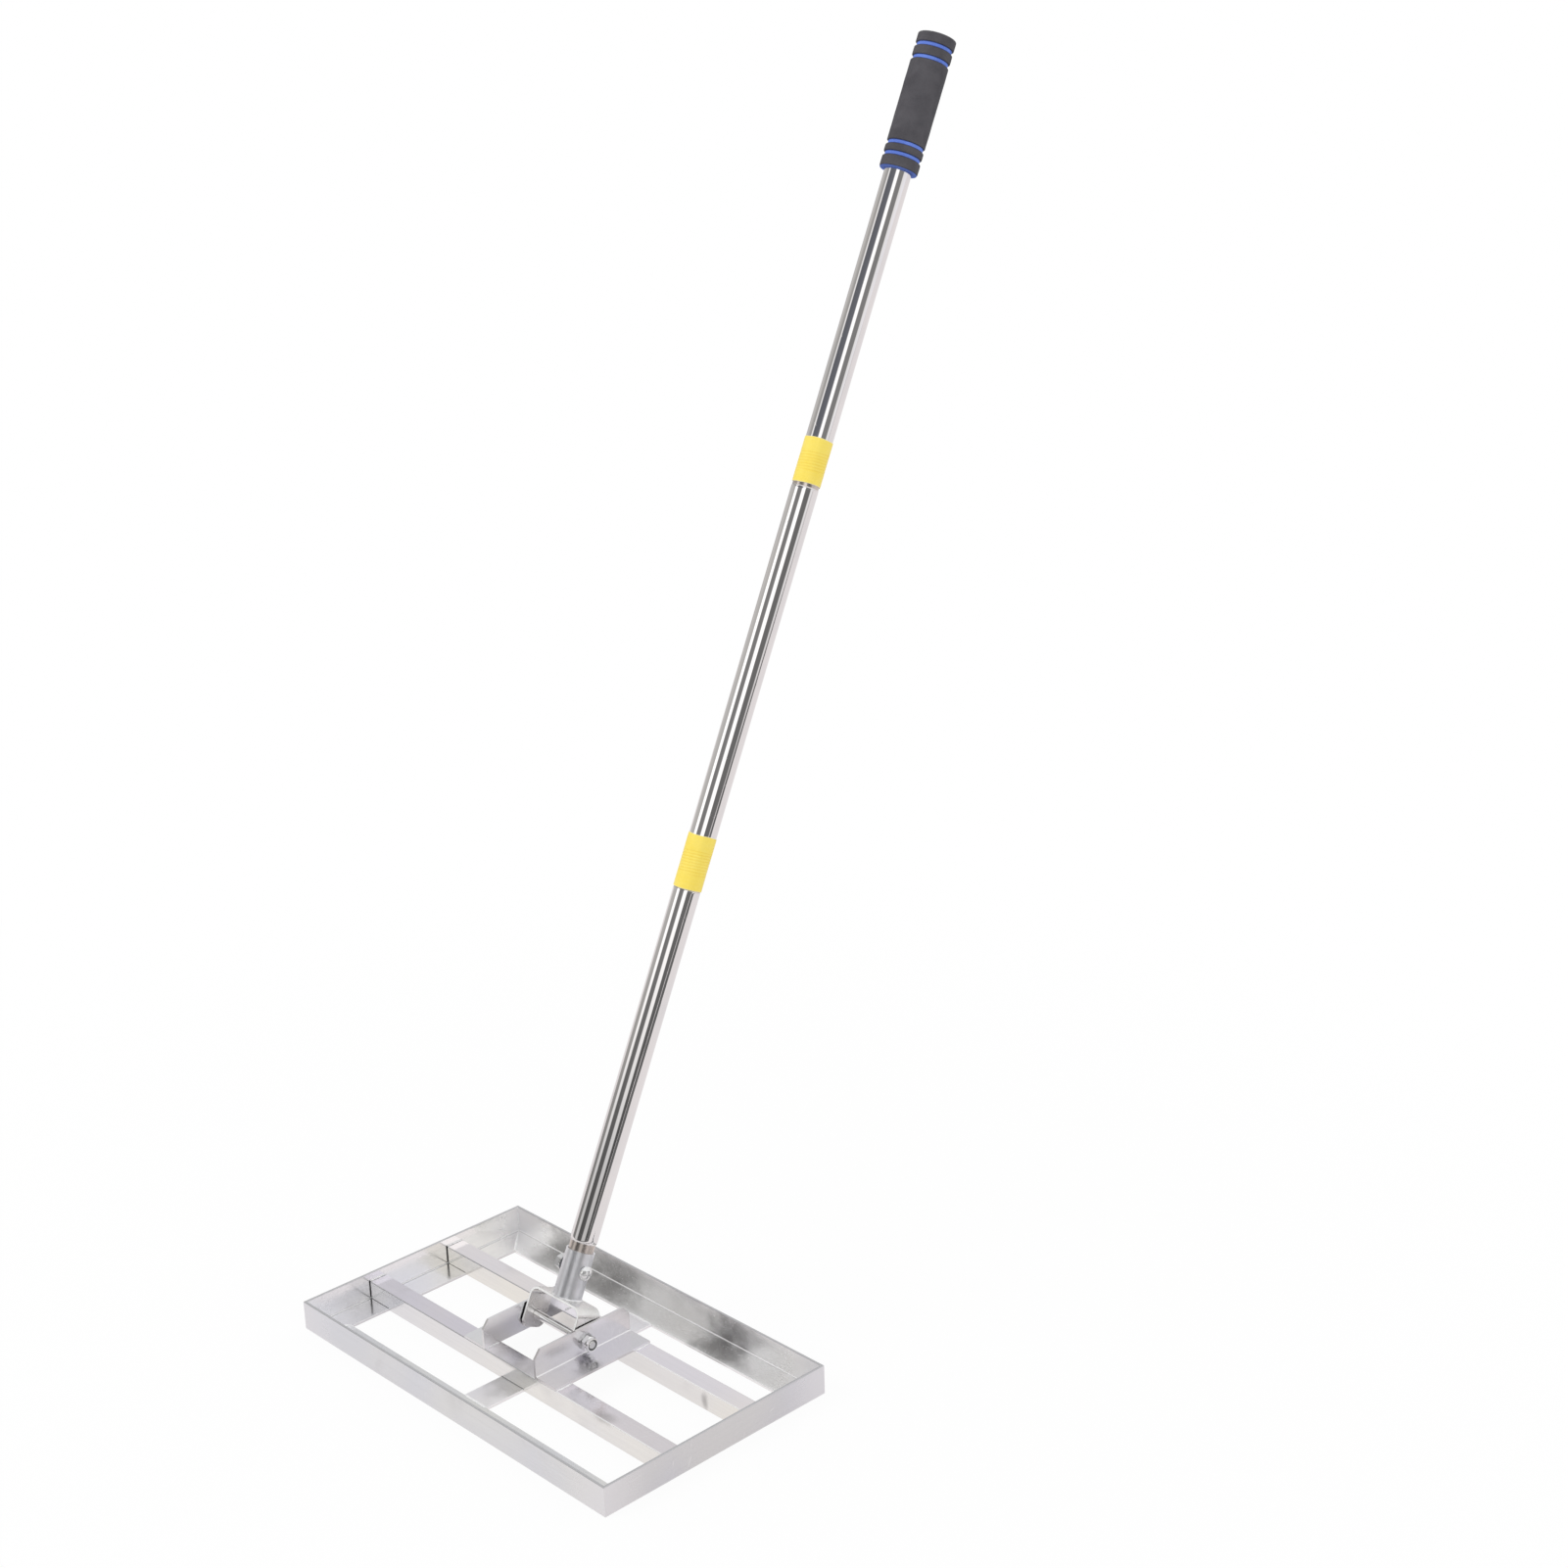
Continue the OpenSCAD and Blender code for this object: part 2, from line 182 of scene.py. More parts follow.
# %% The room that the metal reflects
LEAN = math.radians(25.4)
ROOM_BRIGHT, ROOM_EVEN = 2.0, 0.8
CEILING, CEILING_TILT, CEILING_FROM = 0.465, 0.125, (0.3, 0.5)
NEUTRAL, WARM, LILAC = (1.0, 0.985, 0.98), (1.0, 0.975, 0.945), (0.97, 0.955, 1.0)
COOL = (0.94, 0.97, 1.1)
ROOM_BANDS = [
    (0.0, 0.17, NEUTRAL), (35.0, 0.17, NEUTRAL), (40.0, 1.38, NEUTRAL), (63.0, 1.38, NEUTRAL),
    (69.0, 0.24, NEUTRAL), (100.0, 0.22, NEUTRAL), (107.0, 1.5, NEUTRAL), (124.0, 1.5, NEUTRAL),
    (131.0, 0.5, WARM), (150.0, 0.55, WARM), (183.0, 0.64, WARM), (187.0, 0.4, WARM),
    (195.0, 0.4, WARM), (201.0, 0.98, LILAC),
    (330.0, 0.95, LILAC), (351.0, 0.9, NEUTRAL), (357.0, 0.17, NEUTRAL),
]
UPPER_BANDS = [
    (0.0, 0.24, NEUTRAL), (33.0, 0.24, NEUTRAL), (38.0, 1.34, NEUTRAL), (57.0, 1.34, NEUTRAL),
    (64.0, 0.17, COOL), (109.0, 0.14, COOL), (115.0, 1.0, NEUTRAL), (121.0, 1.0, NEUTRAL),
    (128.0, 0.36, WARM), (140.0, 0.42, WARM), (160.0, 0.55, WARM), (183.0, 0.64, WARM),
    (187.0, 0.45, WARM), (195.0, 0.45, WARM), (201.0, 0.98, LILAC),
    (330.0, 0.95, LILAC), (351.0, 0.9, NEUTRAL), (357.0, 0.24, NEUTRAL),
]
UPPER_SPAN = [(0.105, 0.0), (0.118, 1.0), (0.23, 1.0), (0.26, 0.0)]
ROOM_HEIGHTS = [
    (-0.3, 0.4), (-0.19, 0.42), (-0.15, 0.6), (-0.07, 0.92), (0.0, 1.0), (0.09, 1.0), (0.15, 0.82),
    (0.2, 0.66), (0.28, 0.66), (0.45, 1.0),
]

world = bpy.data.worlds.new("white_studio")
bpy.context.scene.world = world
world.use_nodes = True
world.cycles.sampling_method = "NONE"
room = world.node_tree
room.nodes.clear()
toward = node(room, "TexCoord").outputs["Generated"]
across, before, rise = (vector(room, "DOT_PRODUCT", toward, way, out=1) for way in (
    (1, 0, 0), (0, -math.cos(LEAN), math.sin(LEAN)), (0, math.sin(LEAN), math.cos(LEAN))
))
turn = sums(room, "ARCTAN2", before, across)
turn = sums(room, "FRACT", sums(room, "DIVIDE", turn, 2 * math.pi))


def ramp(tree, value, stops):
    """A colour ramp with its stops as (place from 0 to 1, colour)."""
    made = node(tree, "ValToRGB", {0: value})
    points = made.color_ramp.elements
    for count, (place, colour) in enumerate(stops):
        point = points[count] if count < len(points) else points.new(place)
        point.position, point.color = place, (*colour, 1)
    return made.outputs[0]


bands, upper_bands = (ramp(room, turn, [
    (degrees / 360, np.multiply(tint, level / ROOM_BRIGHT)) for degrees, level, tint in stops
]) for stops in (ROOM_BANDS, UPPER_BANDS))
up_room = sums(room, "MULTIPLY_ADD", rise, 0.5, 0.5)
heights, upper = (
    ramp(room, up_room, [((height + 1) / 2, (level,) * 3) for height, level in stops])
    for stops in (ROOM_HEIGHTS, UPPER_SPAN)
)
bands = mix(room, 1.0, bands, heights, "MULTIPLY")
bands = mix(room, upper, bands, upper_bands)
side = sums(room, "MULTIPLY_ADD", across, CEILING_TILT, CEILING)
ceiling = node(room, "CombineColor", {0: side, 1: side, 2: side}).outputs[0]
bands = mix(room, stretch(room, rise, *CEILING_FROM), bands, ceiling)
ray = node(room, "LightPath").outputs
even = node(room, "Background", {0: (1, 1, 1, 1), 1: ROOM_EVEN})
mirrored = node(room, "Background", {0: bands, 1: ROOM_BRIGHT})
white = node(room, "Background", {0: (1, 1, 1, 1), 1: 1.0})
seen = even
for kind, shown in (("Is Glossy Ray", mirrored), ("Is Camera Ray", white)):
    seen = node(room, "MixShader", {0: ray[kind], 1: seen.outputs[0], 2: shown.outputs[0]})
put(node(room, "OutputWorld").inputs[0], seen.outputs[0], room)
print("room bands:", len(ROOM_BANDS), "heights:", len(ROOM_HEIGHTS))

# %% [markdown]
# ## Floor and lamps
# The floor is a plain white sheet. To the camera it is nearly all white with a faint shadow left
# in it, which fades to pure white further out so that no horizon shows. Metal sees the same white
# floor, a touch warmer, and it sees where the sweep ends 0.6 m in front of the rake and the paler
# floor of the hall far behind: that is the dark stripe on the right of the pole. Two large soft
# lamps give matt pieces a bright and a dim side.

# %% Floor
FLOOR_HALF = 9.0
SHADOW_FADE, SWEEP_END, HALL_FLOOR = (0.3, 1.4), (0.58, 0.64), (4.2, 5.6)
SWEEP_SHADE, DARK_SHADE = (0.86, 0.82, 0.825, 1), (0.14, 0.14, 0.14, 1)
floor_mesh = bpy.data.meshes.new("floor")
corners = np.array([(-1, -1, 0), (1, -1, 0), (1, 1, 0), (-1, 1, 0)]) * FLOOR_HALF
floor_mesh.from_pydata(corners.tolist(), [], [(0, 1, 2, 3)])
floor = placed("floor", floor_mesh)
sheet = bpy.data.materials.new("white_sheet")
sheet.use_nodes = True
net = sheet.node_tree
net.nodes.clear()
ray = node(net, "LightPath").outputs
spot = node(net, "TexCoord").outputs["Object"]
reach = vector(net, "LENGTH", spot, out=1)
forward = vector(net, "DOT_PRODUCT", spot, (0.67, -0.74, 0), out=1)
hall = stretch(net, reach, *HALL_FLOOR, 0.0, 0.75)
beyond = sums(net, "SUBTRACT", stretch(net, forward, *SWEEP_END), hall)
sweep = mix(net, beyond, SWEEP_SHADE, DARK_SHADE)
tint = mix(net, ray["Is Glossy Ray"], (1, 1, 1, 1), sweep)
matt = node(net, "BsdfDiffuse", {0: (0.94, 0.94, 0.94, 1)})
glow = node(net, "Emission", {0: tint, 1: 1.0})
watched = sums(net, "MAXIMUM", ray["Is Camera Ray"], ray["Is Glossy Ray"])
share = sums(net, "MULTIPLY", watched, stretch(net, reach, *SHADOW_FADE, 0.93, 1.0))
both = node(net, "MixShader", {0: share, 1: matt.outputs[0], 2: glow.outputs[0]})
put(node(net, "OutputMaterial").inputs[0], both.outputs[0], net)
floor_mesh.materials.append(sheet)
print("floor", 2 * FLOOR_HALF, "m square")

# %% Lamps
LAMPS = [
    ("key_lamp", (-1.3, -2.3, 2.7), 2.2, 30.0),
    ("fill_lamp", (2.6, -0.6, 1.9), 1.8, 9.0),
]
LAMP_AIM = np.array([0, 0.2, 0.45])


def aim(place, target):
    """A matrix whose -Z points from a place to a target."""
    back = np.subtract(place, target)
    back = back / np.linalg.norm(back)
    side = np.cross((0, 0, 1), back)
    side = side / np.linalg.norm(side)
    return framed(side, np.cross(back, side), back, place)


for name, place, size, power in LAMPS:
    light = bpy.data.lights.new(name, "AREA")
    light.shape, light.size, light.energy = "DISK", size, power
    lamp = placed(name, light)
    lamp.matrix_world = aim(place, LAMP_AIM)
    lamp.visible_glossy = False
    print(name, "at", place, power, "W")

# %% [markdown]
# ## Shared surface effects
# Metal that has been rolled, drawn or polished has fine lines along it, clouds of dull oxide
# and stray scratches, and a soft blot paints a spot of reflection or shade where the light
# falls. Each effect is a node group with named inputs, built once, and every finish sets its own
# scale. All of them read a place on the piece, in metres, so that a pattern keeps its real size.


# %% Effect groups
def effect(name, inputs, outputs):
    """An empty node group. Inputs are name: (kind of socket, value), outputs are name: kind."""
    tree = bpy.data.node_groups.new(name, "ShaderNodeTree")
    for key, (kind, value) in inputs.items():
        socket = tree.interface.new_socket(key, in_out="INPUT", socket_type="NodeSocket" + kind)
        socket.default_value = value
    for key, kind in outputs.items():
        tree.interface.new_socket(key, in_out="OUTPUT", socket_type="NodeSocket" + kind)
    given = tree.nodes.new("NodeGroupInput").outputs
    result = tree.nodes.new("NodeGroupOutput").inputs
    return tree, given, result


def use(tree, name, sockets):
    """Places an effect in a material and returns its outputs."""
    made = tree.nodes.new("ShaderNodeGroup")
    made.node_tree = bpy.data.node_groups[name]
    for key, value in sockets.items():
        put(made.inputs[key], value, tree)
    return made.outputs


def noise(tree, vector, scale, detail=3.0, rough=0.55, bend=0.0):
    """Blender's cloud noise, from 0 to 1."""
    sockets = {"Vector": vector, "Scale": scale, "Detail": detail, "Roughness": rough,
               "Distortion": bend}
    return node(tree, "TexNoise", sockets).outputs["Fac"]


PLACE = ("Vector", (0, 0, 0))
tree, given, result = effect(
    "drawn_lines", {"Place": PLACE, "Grain": ("Vector", (10, 900, 900))}, {"Lines": "Float"}
)
along = vector(tree, "MULTIPLY", given["Place"], given["Grain"])
put(result["Lines"], stretch(tree, noise(tree, along, 1.0, 4.0, 0.6), 0.3, 0.7), tree)

tree, given, result = effect(
    "oxide_clouds",
    {"Place": PLACE, "Scale": ("Float", 20.0), "Low": ("Float", 0.35), "High": ("Float", 0.65)},
    {"Clouds": "Float"},
)
cloud = noise(tree, given["Place"], given["Scale"], 2.5, 0.5, 0.3)
put(result["Clouds"], stretch(tree, cloud, given["Low"], given["High"]), tree)

tree, given, result = effect(
    "stray_scratches", {"Place": PLACE, "Fineness": ("Float", 700.0)}, {"Scratches": "Float"}
)
scratch = 0.0
for turn_x, turn_z in ((0.3, 0.5), (-0.5, 1.9), (1.0, -0.7)):
    spun = node(tree, "Mapping", {"Vector": given["Place"], "Rotation": (turn_x, 0.4, turn_z)})
    thin = vector(tree, "MULTIPLY", spun.outputs[0], (0.03, 1.0, 0.15))
    line = stretch(tree, noise(tree, thin, given["Fineness"], 1.0, 0.4), 0.73, 0.78)
    scratch = sums(tree, "MAXIMUM", scratch, line)
put(result["Scratches"], scratch, tree)

# A soft blot at a centre and reach, used to paint a spot of reflection or shade.
tree, given, result = effect(
    "painted_light_mark", {"Place": PLACE, "Centre": PLACE, "Reach": ("Vector", (1, 1, 1))},
    {"Mark": "Float"},
)
stray = node(tree, "TexNoise", {"Vector": given["Place"], "Scale": 55.0, "Detail": 3.0})
stray = vector(tree, "SUBTRACT", stray.outputs["Color"], (0.5, 0.5, 0.5))
away = vector(tree, "SUBTRACT", given["Place"], given["Centre"])
away = vector(tree, "DIVIDE", away, given["Reach"])
away = vector(tree, "MULTIPLY_ADD", stray, (1.1, 1.1, 1.1), away)
away = vector(tree, "LENGTH", away, out=1)
put(result["Mark"], stretch(tree, away, 0.15, 1.0, 1.0, 0.0), tree)

tree, given, result = effect("along_pole", {"Place": PLACE}, {"Place": "Vector"})
spun = node(tree, "Mapping", {"Vector": given["Place"], "Rotation": (LEAN, 0, 0)})
put(result["Place"], spun.outputs[0], tree)


def lines_in(tree, place, grain):
    """Fine drawn lines. The grain says how often they change per metre along X, Y and Z."""
    return use(tree, "drawn_lines", {"Place": place, "Grain": grain})["Lines"]


def clouds_in(tree, place, scale, low=0.3, high=0.7):
    """Soft clouds of a scale per metre, between a low and a high level of the noise."""
    sockets = {"Place": place, "Scale": scale, "Low": low, "High": high}
    return use(tree, "oxide_clouds", sockets)["Clouds"]


def scratches_in(tree, place, fineness):
    """A few scratches in three directions."""
    return use(tree, "stray_scratches", {"Place": place, "Fineness": fineness})["Scratches"]


print("effects:", sorted(group.name for group in bpy.data.node_groups))

# %% [markdown]
# ## Mill aluminium
# The frame is extruded angle that was never polished: a pale grey metal, a little lilac in one
# place and cream in another, with faint lines along each bar, dull grey patches where it was
# handled, and whiter skin where a torch heated it beside a weld. Rolled metal also smears what it
# mirrors, so broad dark and bright marks of painted reflection are set along the back bar where
# the photograph has them, and dark marks of painted shade on the slats, the strip and the
# brackets. Each bar, and its flat and upright faces, have their own tints, which paint in how the
# light falls on them. Edges get a painted highlight, brighter and less metallic, and creases and
# gaps a painted dark line: the bars store these values in their mesh, so that they follow their
# real edges.


# %% Aluminium finish
def finish(name, leaning=False):
    """A new material, its tree and the place on the piece, stood upright where the piece leans."""
    material = bpy.data.materials.new(name)
    material.use_nodes = True
    tree = material.node_tree
    place = node(tree, "TexCoord").outputs["Object"]
    return material, tree, use(tree, "along_pole", {"Place": place})["Place"] if leaning else place


def coat(material, colour, rough, metal, height, strength, distance=0.0003, gloss=0.5):
    """Feeds a material's shader: its colour, roughness, metal and gloss, and a height as bumps."""
    tree = material.node_tree
    bump = node(tree, "Bump", {"Height": height, "Strength": strength, "Distance": distance})
    sockets = {"Base Color": colour, "Roughness": rough, "Metallic": metal,
               "Specular IOR Level": gloss, "Normal": bump.outputs[0]}
    for key, value in sockets.items():
        put(tree.nodes["Principled BSDF"].inputs[key], value, tree)
    return material


HALF_HEAD = (0.215, 0.127, 0)
METAL_TONES = [(0.77, 0.775, 0.81), (0.825, 0.82, 0.8)]
# Tones of painted reflection and painted shade.
PAINTED_DARK_TONE, PAINTED_BRIGHT_TONE = (0.19, 0.185, 0.18), (0.95, 0.945, 0.94)


def corner_heat(tree, place):
    """A mask that is 1 on the welded corners of the head and 0 from 60 mm away."""
    level = vector(tree, "MULTIPLY", vector(tree, "ABSOLUTE", place), (1, 1, 0))
    away = vector(tree, "DISTANCE", level, HALF_HEAD, out=1)
    return stretch(tree, away, 0.004, 0.06, 1.0, 0.0)


def mill_aluminium(name, grain, marks, rough_low, flat=(1, 1, 1), upright=(1, 1, 1), weathered=0.0):
    """Pale aluminium with its grain along one direction, of a lowest roughness, with a tint on
    its flat faces and another on its upright ones, which paint in how the light falls on them.
    Each mark is a centre, a reach, a share and a colour, for a painted reflection or painted
    shade. The outer face can be weathered darker."""
    material, tree, place = finish(name)
    lines, tone = lines_in(tree, place, grain), clouds_in(tree, place, 8.0)
    frost, patch = clouds_in(tree, place, 520.0, 0.3, 0.75), clouds_in(tree, place, 24.0, 0.55, 0.8)
    scratch, heat = scratches_in(tree, place, 600.0), corner_heat(tree, place)
    edge, rim = stored(tree, "edge"), stored(tree, "rim")
    # The flat and upright tints paint in how brightly the light falls on each kind of face.
    faces = [
        mix(tree, tone, *((*np.minimum(np.multiply(metal, tint), 1), 1) for metal in METAL_TONES))
        for tint in (flat, upright)
    ]
    # Marks of painted reflection and painted shade, each at a centre and reach.
    painted_light_marks = [
        (use(tree, "painted_light_mark", {"Place": place, "Centre": centre, "Reach": reach})["Mark"], *look)
        for centre, reach, *look in marks
    ]
    # Over the tints go lines, patches, painted marks, heat, frost and scratches, then a painted
    # highlight on the edges, a darker top rim and a painted dark line on half of each slat's fold,
    # and near black painted shade in creases and gaps.
    colour = over(
        tree, mix(tree, stored(tree, "upright"), *faces),
        (stored(tree, "outer"), weathered, (0.6, 0.6, 0.61)), (lines, 0.1, (0.55, 0.55, 0.57)),
        (patch, 0.25, (0.5, 0.49, 0.49)), *painted_light_marks, (heat, 0.5, (0.92, 0.92, 0.94)),
        (frost, 0.1, (0.9, 0.9, 0.91)), (scratch, 0.3, (0.92, 0.92, 0.92)), (edge, 0.8, (1, 1, 1)),
        (rim, 0.85, (0.55, 0.55, 0.565)), (stored(tree, "crevice_shade"), 1.0, (0.03, 0.03, 0.03)),
    )
    rough = stretch(tree, lines, 0, 1, rough_low, rough_low * 1.15)
    rough = added(tree, rough, (frost, 0.04), (heat, 0.14), (rim, 0.15))
    # Painted edge highlights are less metallic.
    metal = stretch(tree, edge, 0, 1, 1.0, 0.45)
    return coat(material, colour, rough, metal, added(tree, frost, (lines, 0.2)), 0.04, 0.0002)


GRAIN_X, GRAIN_Y = (9, 700, 700), (700, 9, 700)
# Painted reflections on the back bar, and painted shade on the slats, the strip and the brackets:
# centre and reach in metres, share and tone.
BACK_REFLECTION_MARKS = [
    ((-0.205, 0.11, 0.01), (0.04, 0.06, 0.06), 0.7, PAINTED_BRIGHT_TONE),
    ((-0.142, 0.11, 0.01), (0.03, 0.06, 0.06), 0.4, PAINTED_DARK_TONE),
    ((-0.068, 0.11, 0.01), (0.055, 0.06, 0.06), 0.51, PAINTED_DARK_TONE),
    ((0.035, 0.11, 0.01), (0.045, 0.06, 0.06), 0.7, PAINTED_BRIGHT_TONE),
    ((0.02, 0.1245, 0.031), (0.3, 0.01, 0.017), 0.22, PAINTED_DARK_TONE),
    ((0.095, 0.11, 0.01), (0.04, 0.06, 0.06), 0.62, PAINTED_DARK_TONE),
    ((0.175, 0.11, 0.01), (0.04, 0.06, 0.06), 0.9, PAINTED_BRIGHT_TONE),
]
SLAT_SHADE_MARKS = [
    ((0.128, -0.05, 0.0205), (0.022, 0.01, 0.006), 0.45, PAINTED_DARK_TONE),
    ((0.0, -0.046, 0.0205), (0.05, 0.03, 0.004), 0.4, PAINTED_DARK_TONE),
    ((-0.03, 0.0362, 0.012), (0.03, 0.006, 0.02), 0.22, PAINTED_DARK_TONE),
    ((0.158, 0.0362, 0.011), (0.006, 0.006, 0.012), 0.5, PAINTED_DARK_TONE),
]
PLATE_SHADE_MARKS = [
    ((0.06, -0.015, 0.023), (0.013, 0.02, 0.006), 0.45, PAINTED_DARK_TONE),
    ((-0.036, 0.02, 0.036), (0.01, 0.02, 0.02), 0.4, PAINTED_DARK_TONE),
]
STRIP_SHADE_MARKS = [((0.006, -0.075, 0.0025), (0.014, 0.016, 0.01), 0.25, PAINTED_DARK_TONE)]
PLAIN = (1, 1, 1)
# One aluminium in lit and shaded copies: each bar and plate has its own tints, which paint in how
# brightly it is lit.
ALUMINIUM = {kind: mill_aluminium("aluminium_" + kind, *look) for kind, look in {
    "front": (GRAIN_X, [], 0.18, PLAIN, (0.99, 1.02, 1.03)),
    "back": (GRAIN_X, BACK_REFLECTION_MARKS, 0.21, (1.3, 1.3, 1.29), (1.28, 1.28, 1.27), 0.6),
    "left": (GRAIN_Y, [], 0.14, (0.87, 0.86, 0.87), (1.21, 1.2, 1.18), 0.5),
    "right": (GRAIN_Y, [], 0.17, (0.9, 0.9, 0.9), (0.85, 0.86, 0.88)),
    "front_slat": (GRAIN_X, SLAT_SHADE_MARKS, 0.12, (0.98, 0.935, 0.99), (1.13, 1.14, 1.11)),
    "rear_slat": (GRAIN_X, SLAT_SHADE_MARKS, 0.12, (1.12, 1.07, 1.1), (1.14, 1.14, 1.08)),
    "strip": (GRAIN_Y, STRIP_SHADE_MARKS, 0.3, (1.15, 1.13, 1.17)),
    "left_plate": (GRAIN_Y, PLATE_SHADE_MARKS, 0.16, (1.04, 1.04, 1.04)),
    "right_plate": (GRAIN_Y, PLATE_SHADE_MARKS, 0.18, (0.93, 0.91, 0.925)),
}.items()}
print("aluminium finishes:", len(ALUMINIUM))

# %% [markdown]
# ## Meshes from arrays
# A bar, a tube or a weld is a ring of points carried along a path. So one function turns an array
# of rings into a mesh: neighbouring points of neighbouring rings make four-cornered faces, and
# the two ends are closed, or joined to each other where the path comes back to its start. When
# the points run anticlockwise about the path, every face looks outwards.


# %% Rings to a mesh
def skin(rings, loop=False):
    """Points and faces of a stack of closed rings, an array of (rings, points in a ring, 3)."""
    count, around = rings.shape[:2]
    i, j = np.meshgrid(np.arange(count if loop else count - 1), np.arange(around), indexing="ij")
    after, beside = (i + 1) % count, (j + 1) % around
    faces = np.stack(
        [i * around + j, i * around + beside, after * around + beside, after * around + j], -1
    ).reshape(-1, 4).tolist()
    if not loop:
        first = np.arange(around)
        faces += [first[::-1].tolist(), (first + (count - 1) * around).tolist()]
    return rings.reshape(-1, 3), faces


def piece(name, skins, material, body, smooth_to=35.0, **marks):
    """One object from skins, in millimetres, which rides on a body. Edges that turn by more than
    smooth_to degrees stay sharp. Each mark is a value per point, kept as an attribute."""
    points, faces, start = [], [], 0
    for part_points, part_faces in skins:
        points.append(part_points)
        faces += [[k + start for k in face] for face in part_faces]
        start += len(part_points)
    mesh = bpy.data.meshes.new(name)
    mesh.from_pydata((np.concatenate(points) * MM).tolist(), [], faces)
    mesh.polygons.foreach_set("use_smooth", np.ones(len(faces), bool))
    mesh.set_sharp_from_angle(angle=math.radians(smooth_to))
    for key, values in marks.items():
        mesh.attributes.new(key, "FLOAT", "POINT").data.foreach_set("value", np.ravel(values))
    mesh.materials.append(material)
    made = placed(name, mesh)
    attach(made, body)
    return made


def stand_in(made, solid):
    """Puts a piece in the place of a solid: hides the solid and prints the piece's faces."""
    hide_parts(solid)
    print(made.name, len(made.data.polygons), "faces, in place of", solid)


print("mesh helpers ready")

# %% [markdown]
# ## The frame's angle bars
# The head is four lengths of angle with mitred ends, welded at the corners, with the flanges
# turned in along the ground. A real extrusion has soft edges and a fillet in its root. So the L
# is drawn with each corner cut by a small curve, and is then carried along the bar: at a mitre a
# point that lies further in ends sooner, by the same amount.

# %% Angle bars
HEAD_LENGTH, HEAD_WIDTH, WALL_HEIGHT = 430.0, 254.0, 28.5
FLANGE, ANGLE_WALL = 31.0, 2.5
IN_X, IN_Y = HEAD_LENGTH / 2 - ANGLE_WALL, HEAD_WIDTH / 2 - ANGLE_WALL
MITRE_X, MITRE_Y = HEAD_LENGTH / 2 - FLANGE, HEAD_WIDTH / 2 - FLANGE
BEND_STEPS = np.linspace(0, 1, 6)
SUPPORT = 0.35
ANGLE_EASE = (0.6, 0.5, 0.5, 1.1, 0.6, 0.6)
# Shares of painted highlight on the eased corners and across the root fillet, lit on the wall side.
ROOT, ROOT_HIGHLIGHT, EDGE_HIGHLIGHT = 3, (0, 0, 0.2, 0.8, 1, 1, 0.8, 0), 0.6


def soft_outline(corners, radii):
    """A closed outline with its corners eased. Each corner becomes the parabola from a point one
    radius before it to a point one radius after it, with a support point on the flat at each
    side. Returns the points and a value that is 1 on the curves and 0 on the flats."""
    corners = np.array(corners, float)
    radii = np.broadcast_to(np.array(radii, float), len(corners))[:, None]
    before = np.roll(corners, 1, 0) - corners
    after = np.roll(corners, -1, 0) - corners
    before /= np.linalg.norm(before, axis=1)[:, None]
    after /= np.linalg.norm(after, axis=1)[:, None]
    t = BEND_STEPS[None, :, None]
    first, last = corners + before * radii, corners + after * radii
    curve = (
        (1 - t) ** 2 * first[:, None] + 2 * t * (1 - t) * corners[:, None] + t ** 2 * last[:, None]
    )
    held = np.concatenate(
        [(first + before * SUPPORT)[:, None], curve, (last + after * SUPPORT)[:, None]], 1
    )
    mark = np.zeros(held.shape[:2])
    mark[:, 1:-1] = 1.0
    return held.reshape(-1, 2), mark.ravel()


def angle_bar(run, bow):
    """The L outline carried along X. A point at depth y ends at half the run less y, and the
    middle of the bar bows by a fraction of a millimetre, as drawn bars do. Also returns values
    that are 1 on its upright faces and its sawn rim, a painted highlight on its edges and on the
    wall side of its root, and a painted shade line on the flange side of its root."""
    corners = [(0, 0), (FLANGE, 0), (FLANGE, ANGLE_WALL), (ANGLE_WALL, ANGLE_WALL),
               (ANGLE_WALL, WALL_HEIGHT), (0, WALL_HEIGHT)]
    outline, mark = soft_outline(corners, ANGLE_EASE)
    y, z = outline.T
    # Painted highlight on the eased corners and the wall side of the root.
    edge = mark.reshape(len(corners), -1) * EDGE_HIGHLIGHT
    crevice_shade = np.zeros_like(edge)
    edge[ROOT], edge[ROOT + 1:] = ROOT_HIGHLIGHT, 0
    # A painted shade line along the flange side of the root.
    crevice_shade[ROOT, 1:3] = 0.3
    s = np.linspace(-1, 1, 41)[:, None]
    x = s * (run / 2 - y)
    swell = bow * (1 - s ** 2) * np.sin(2.3 * s + 0.8)
    rings = np.stack([x, y + swell, np.broadcast_to(z, x.shape)], -1)
    marks = {"edge": edge.ravel(), "crevice_shade": crevice_shade.ravel(), "rim": 1.0 * (z > WALL_HEIGHT - 0.4),
             "upright": 1.0 * (y < ANGLE_WALL + 0.3), "outer": 1.0 * (y < 0.2)}
    return rings, {key: np.tile(value, (len(s), 1)) for key, value in marks.items()}


def turned_about_z(rings, degrees, shift):
    """The rings turned about Z and then moved."""
    c, s = math.cos(math.radians(degrees)), math.sin(math.radians(degrees))
    return rings @ np.array([[c, s, 0], [-s, c, 0], [0, 0, 1]]) + np.array(shift)


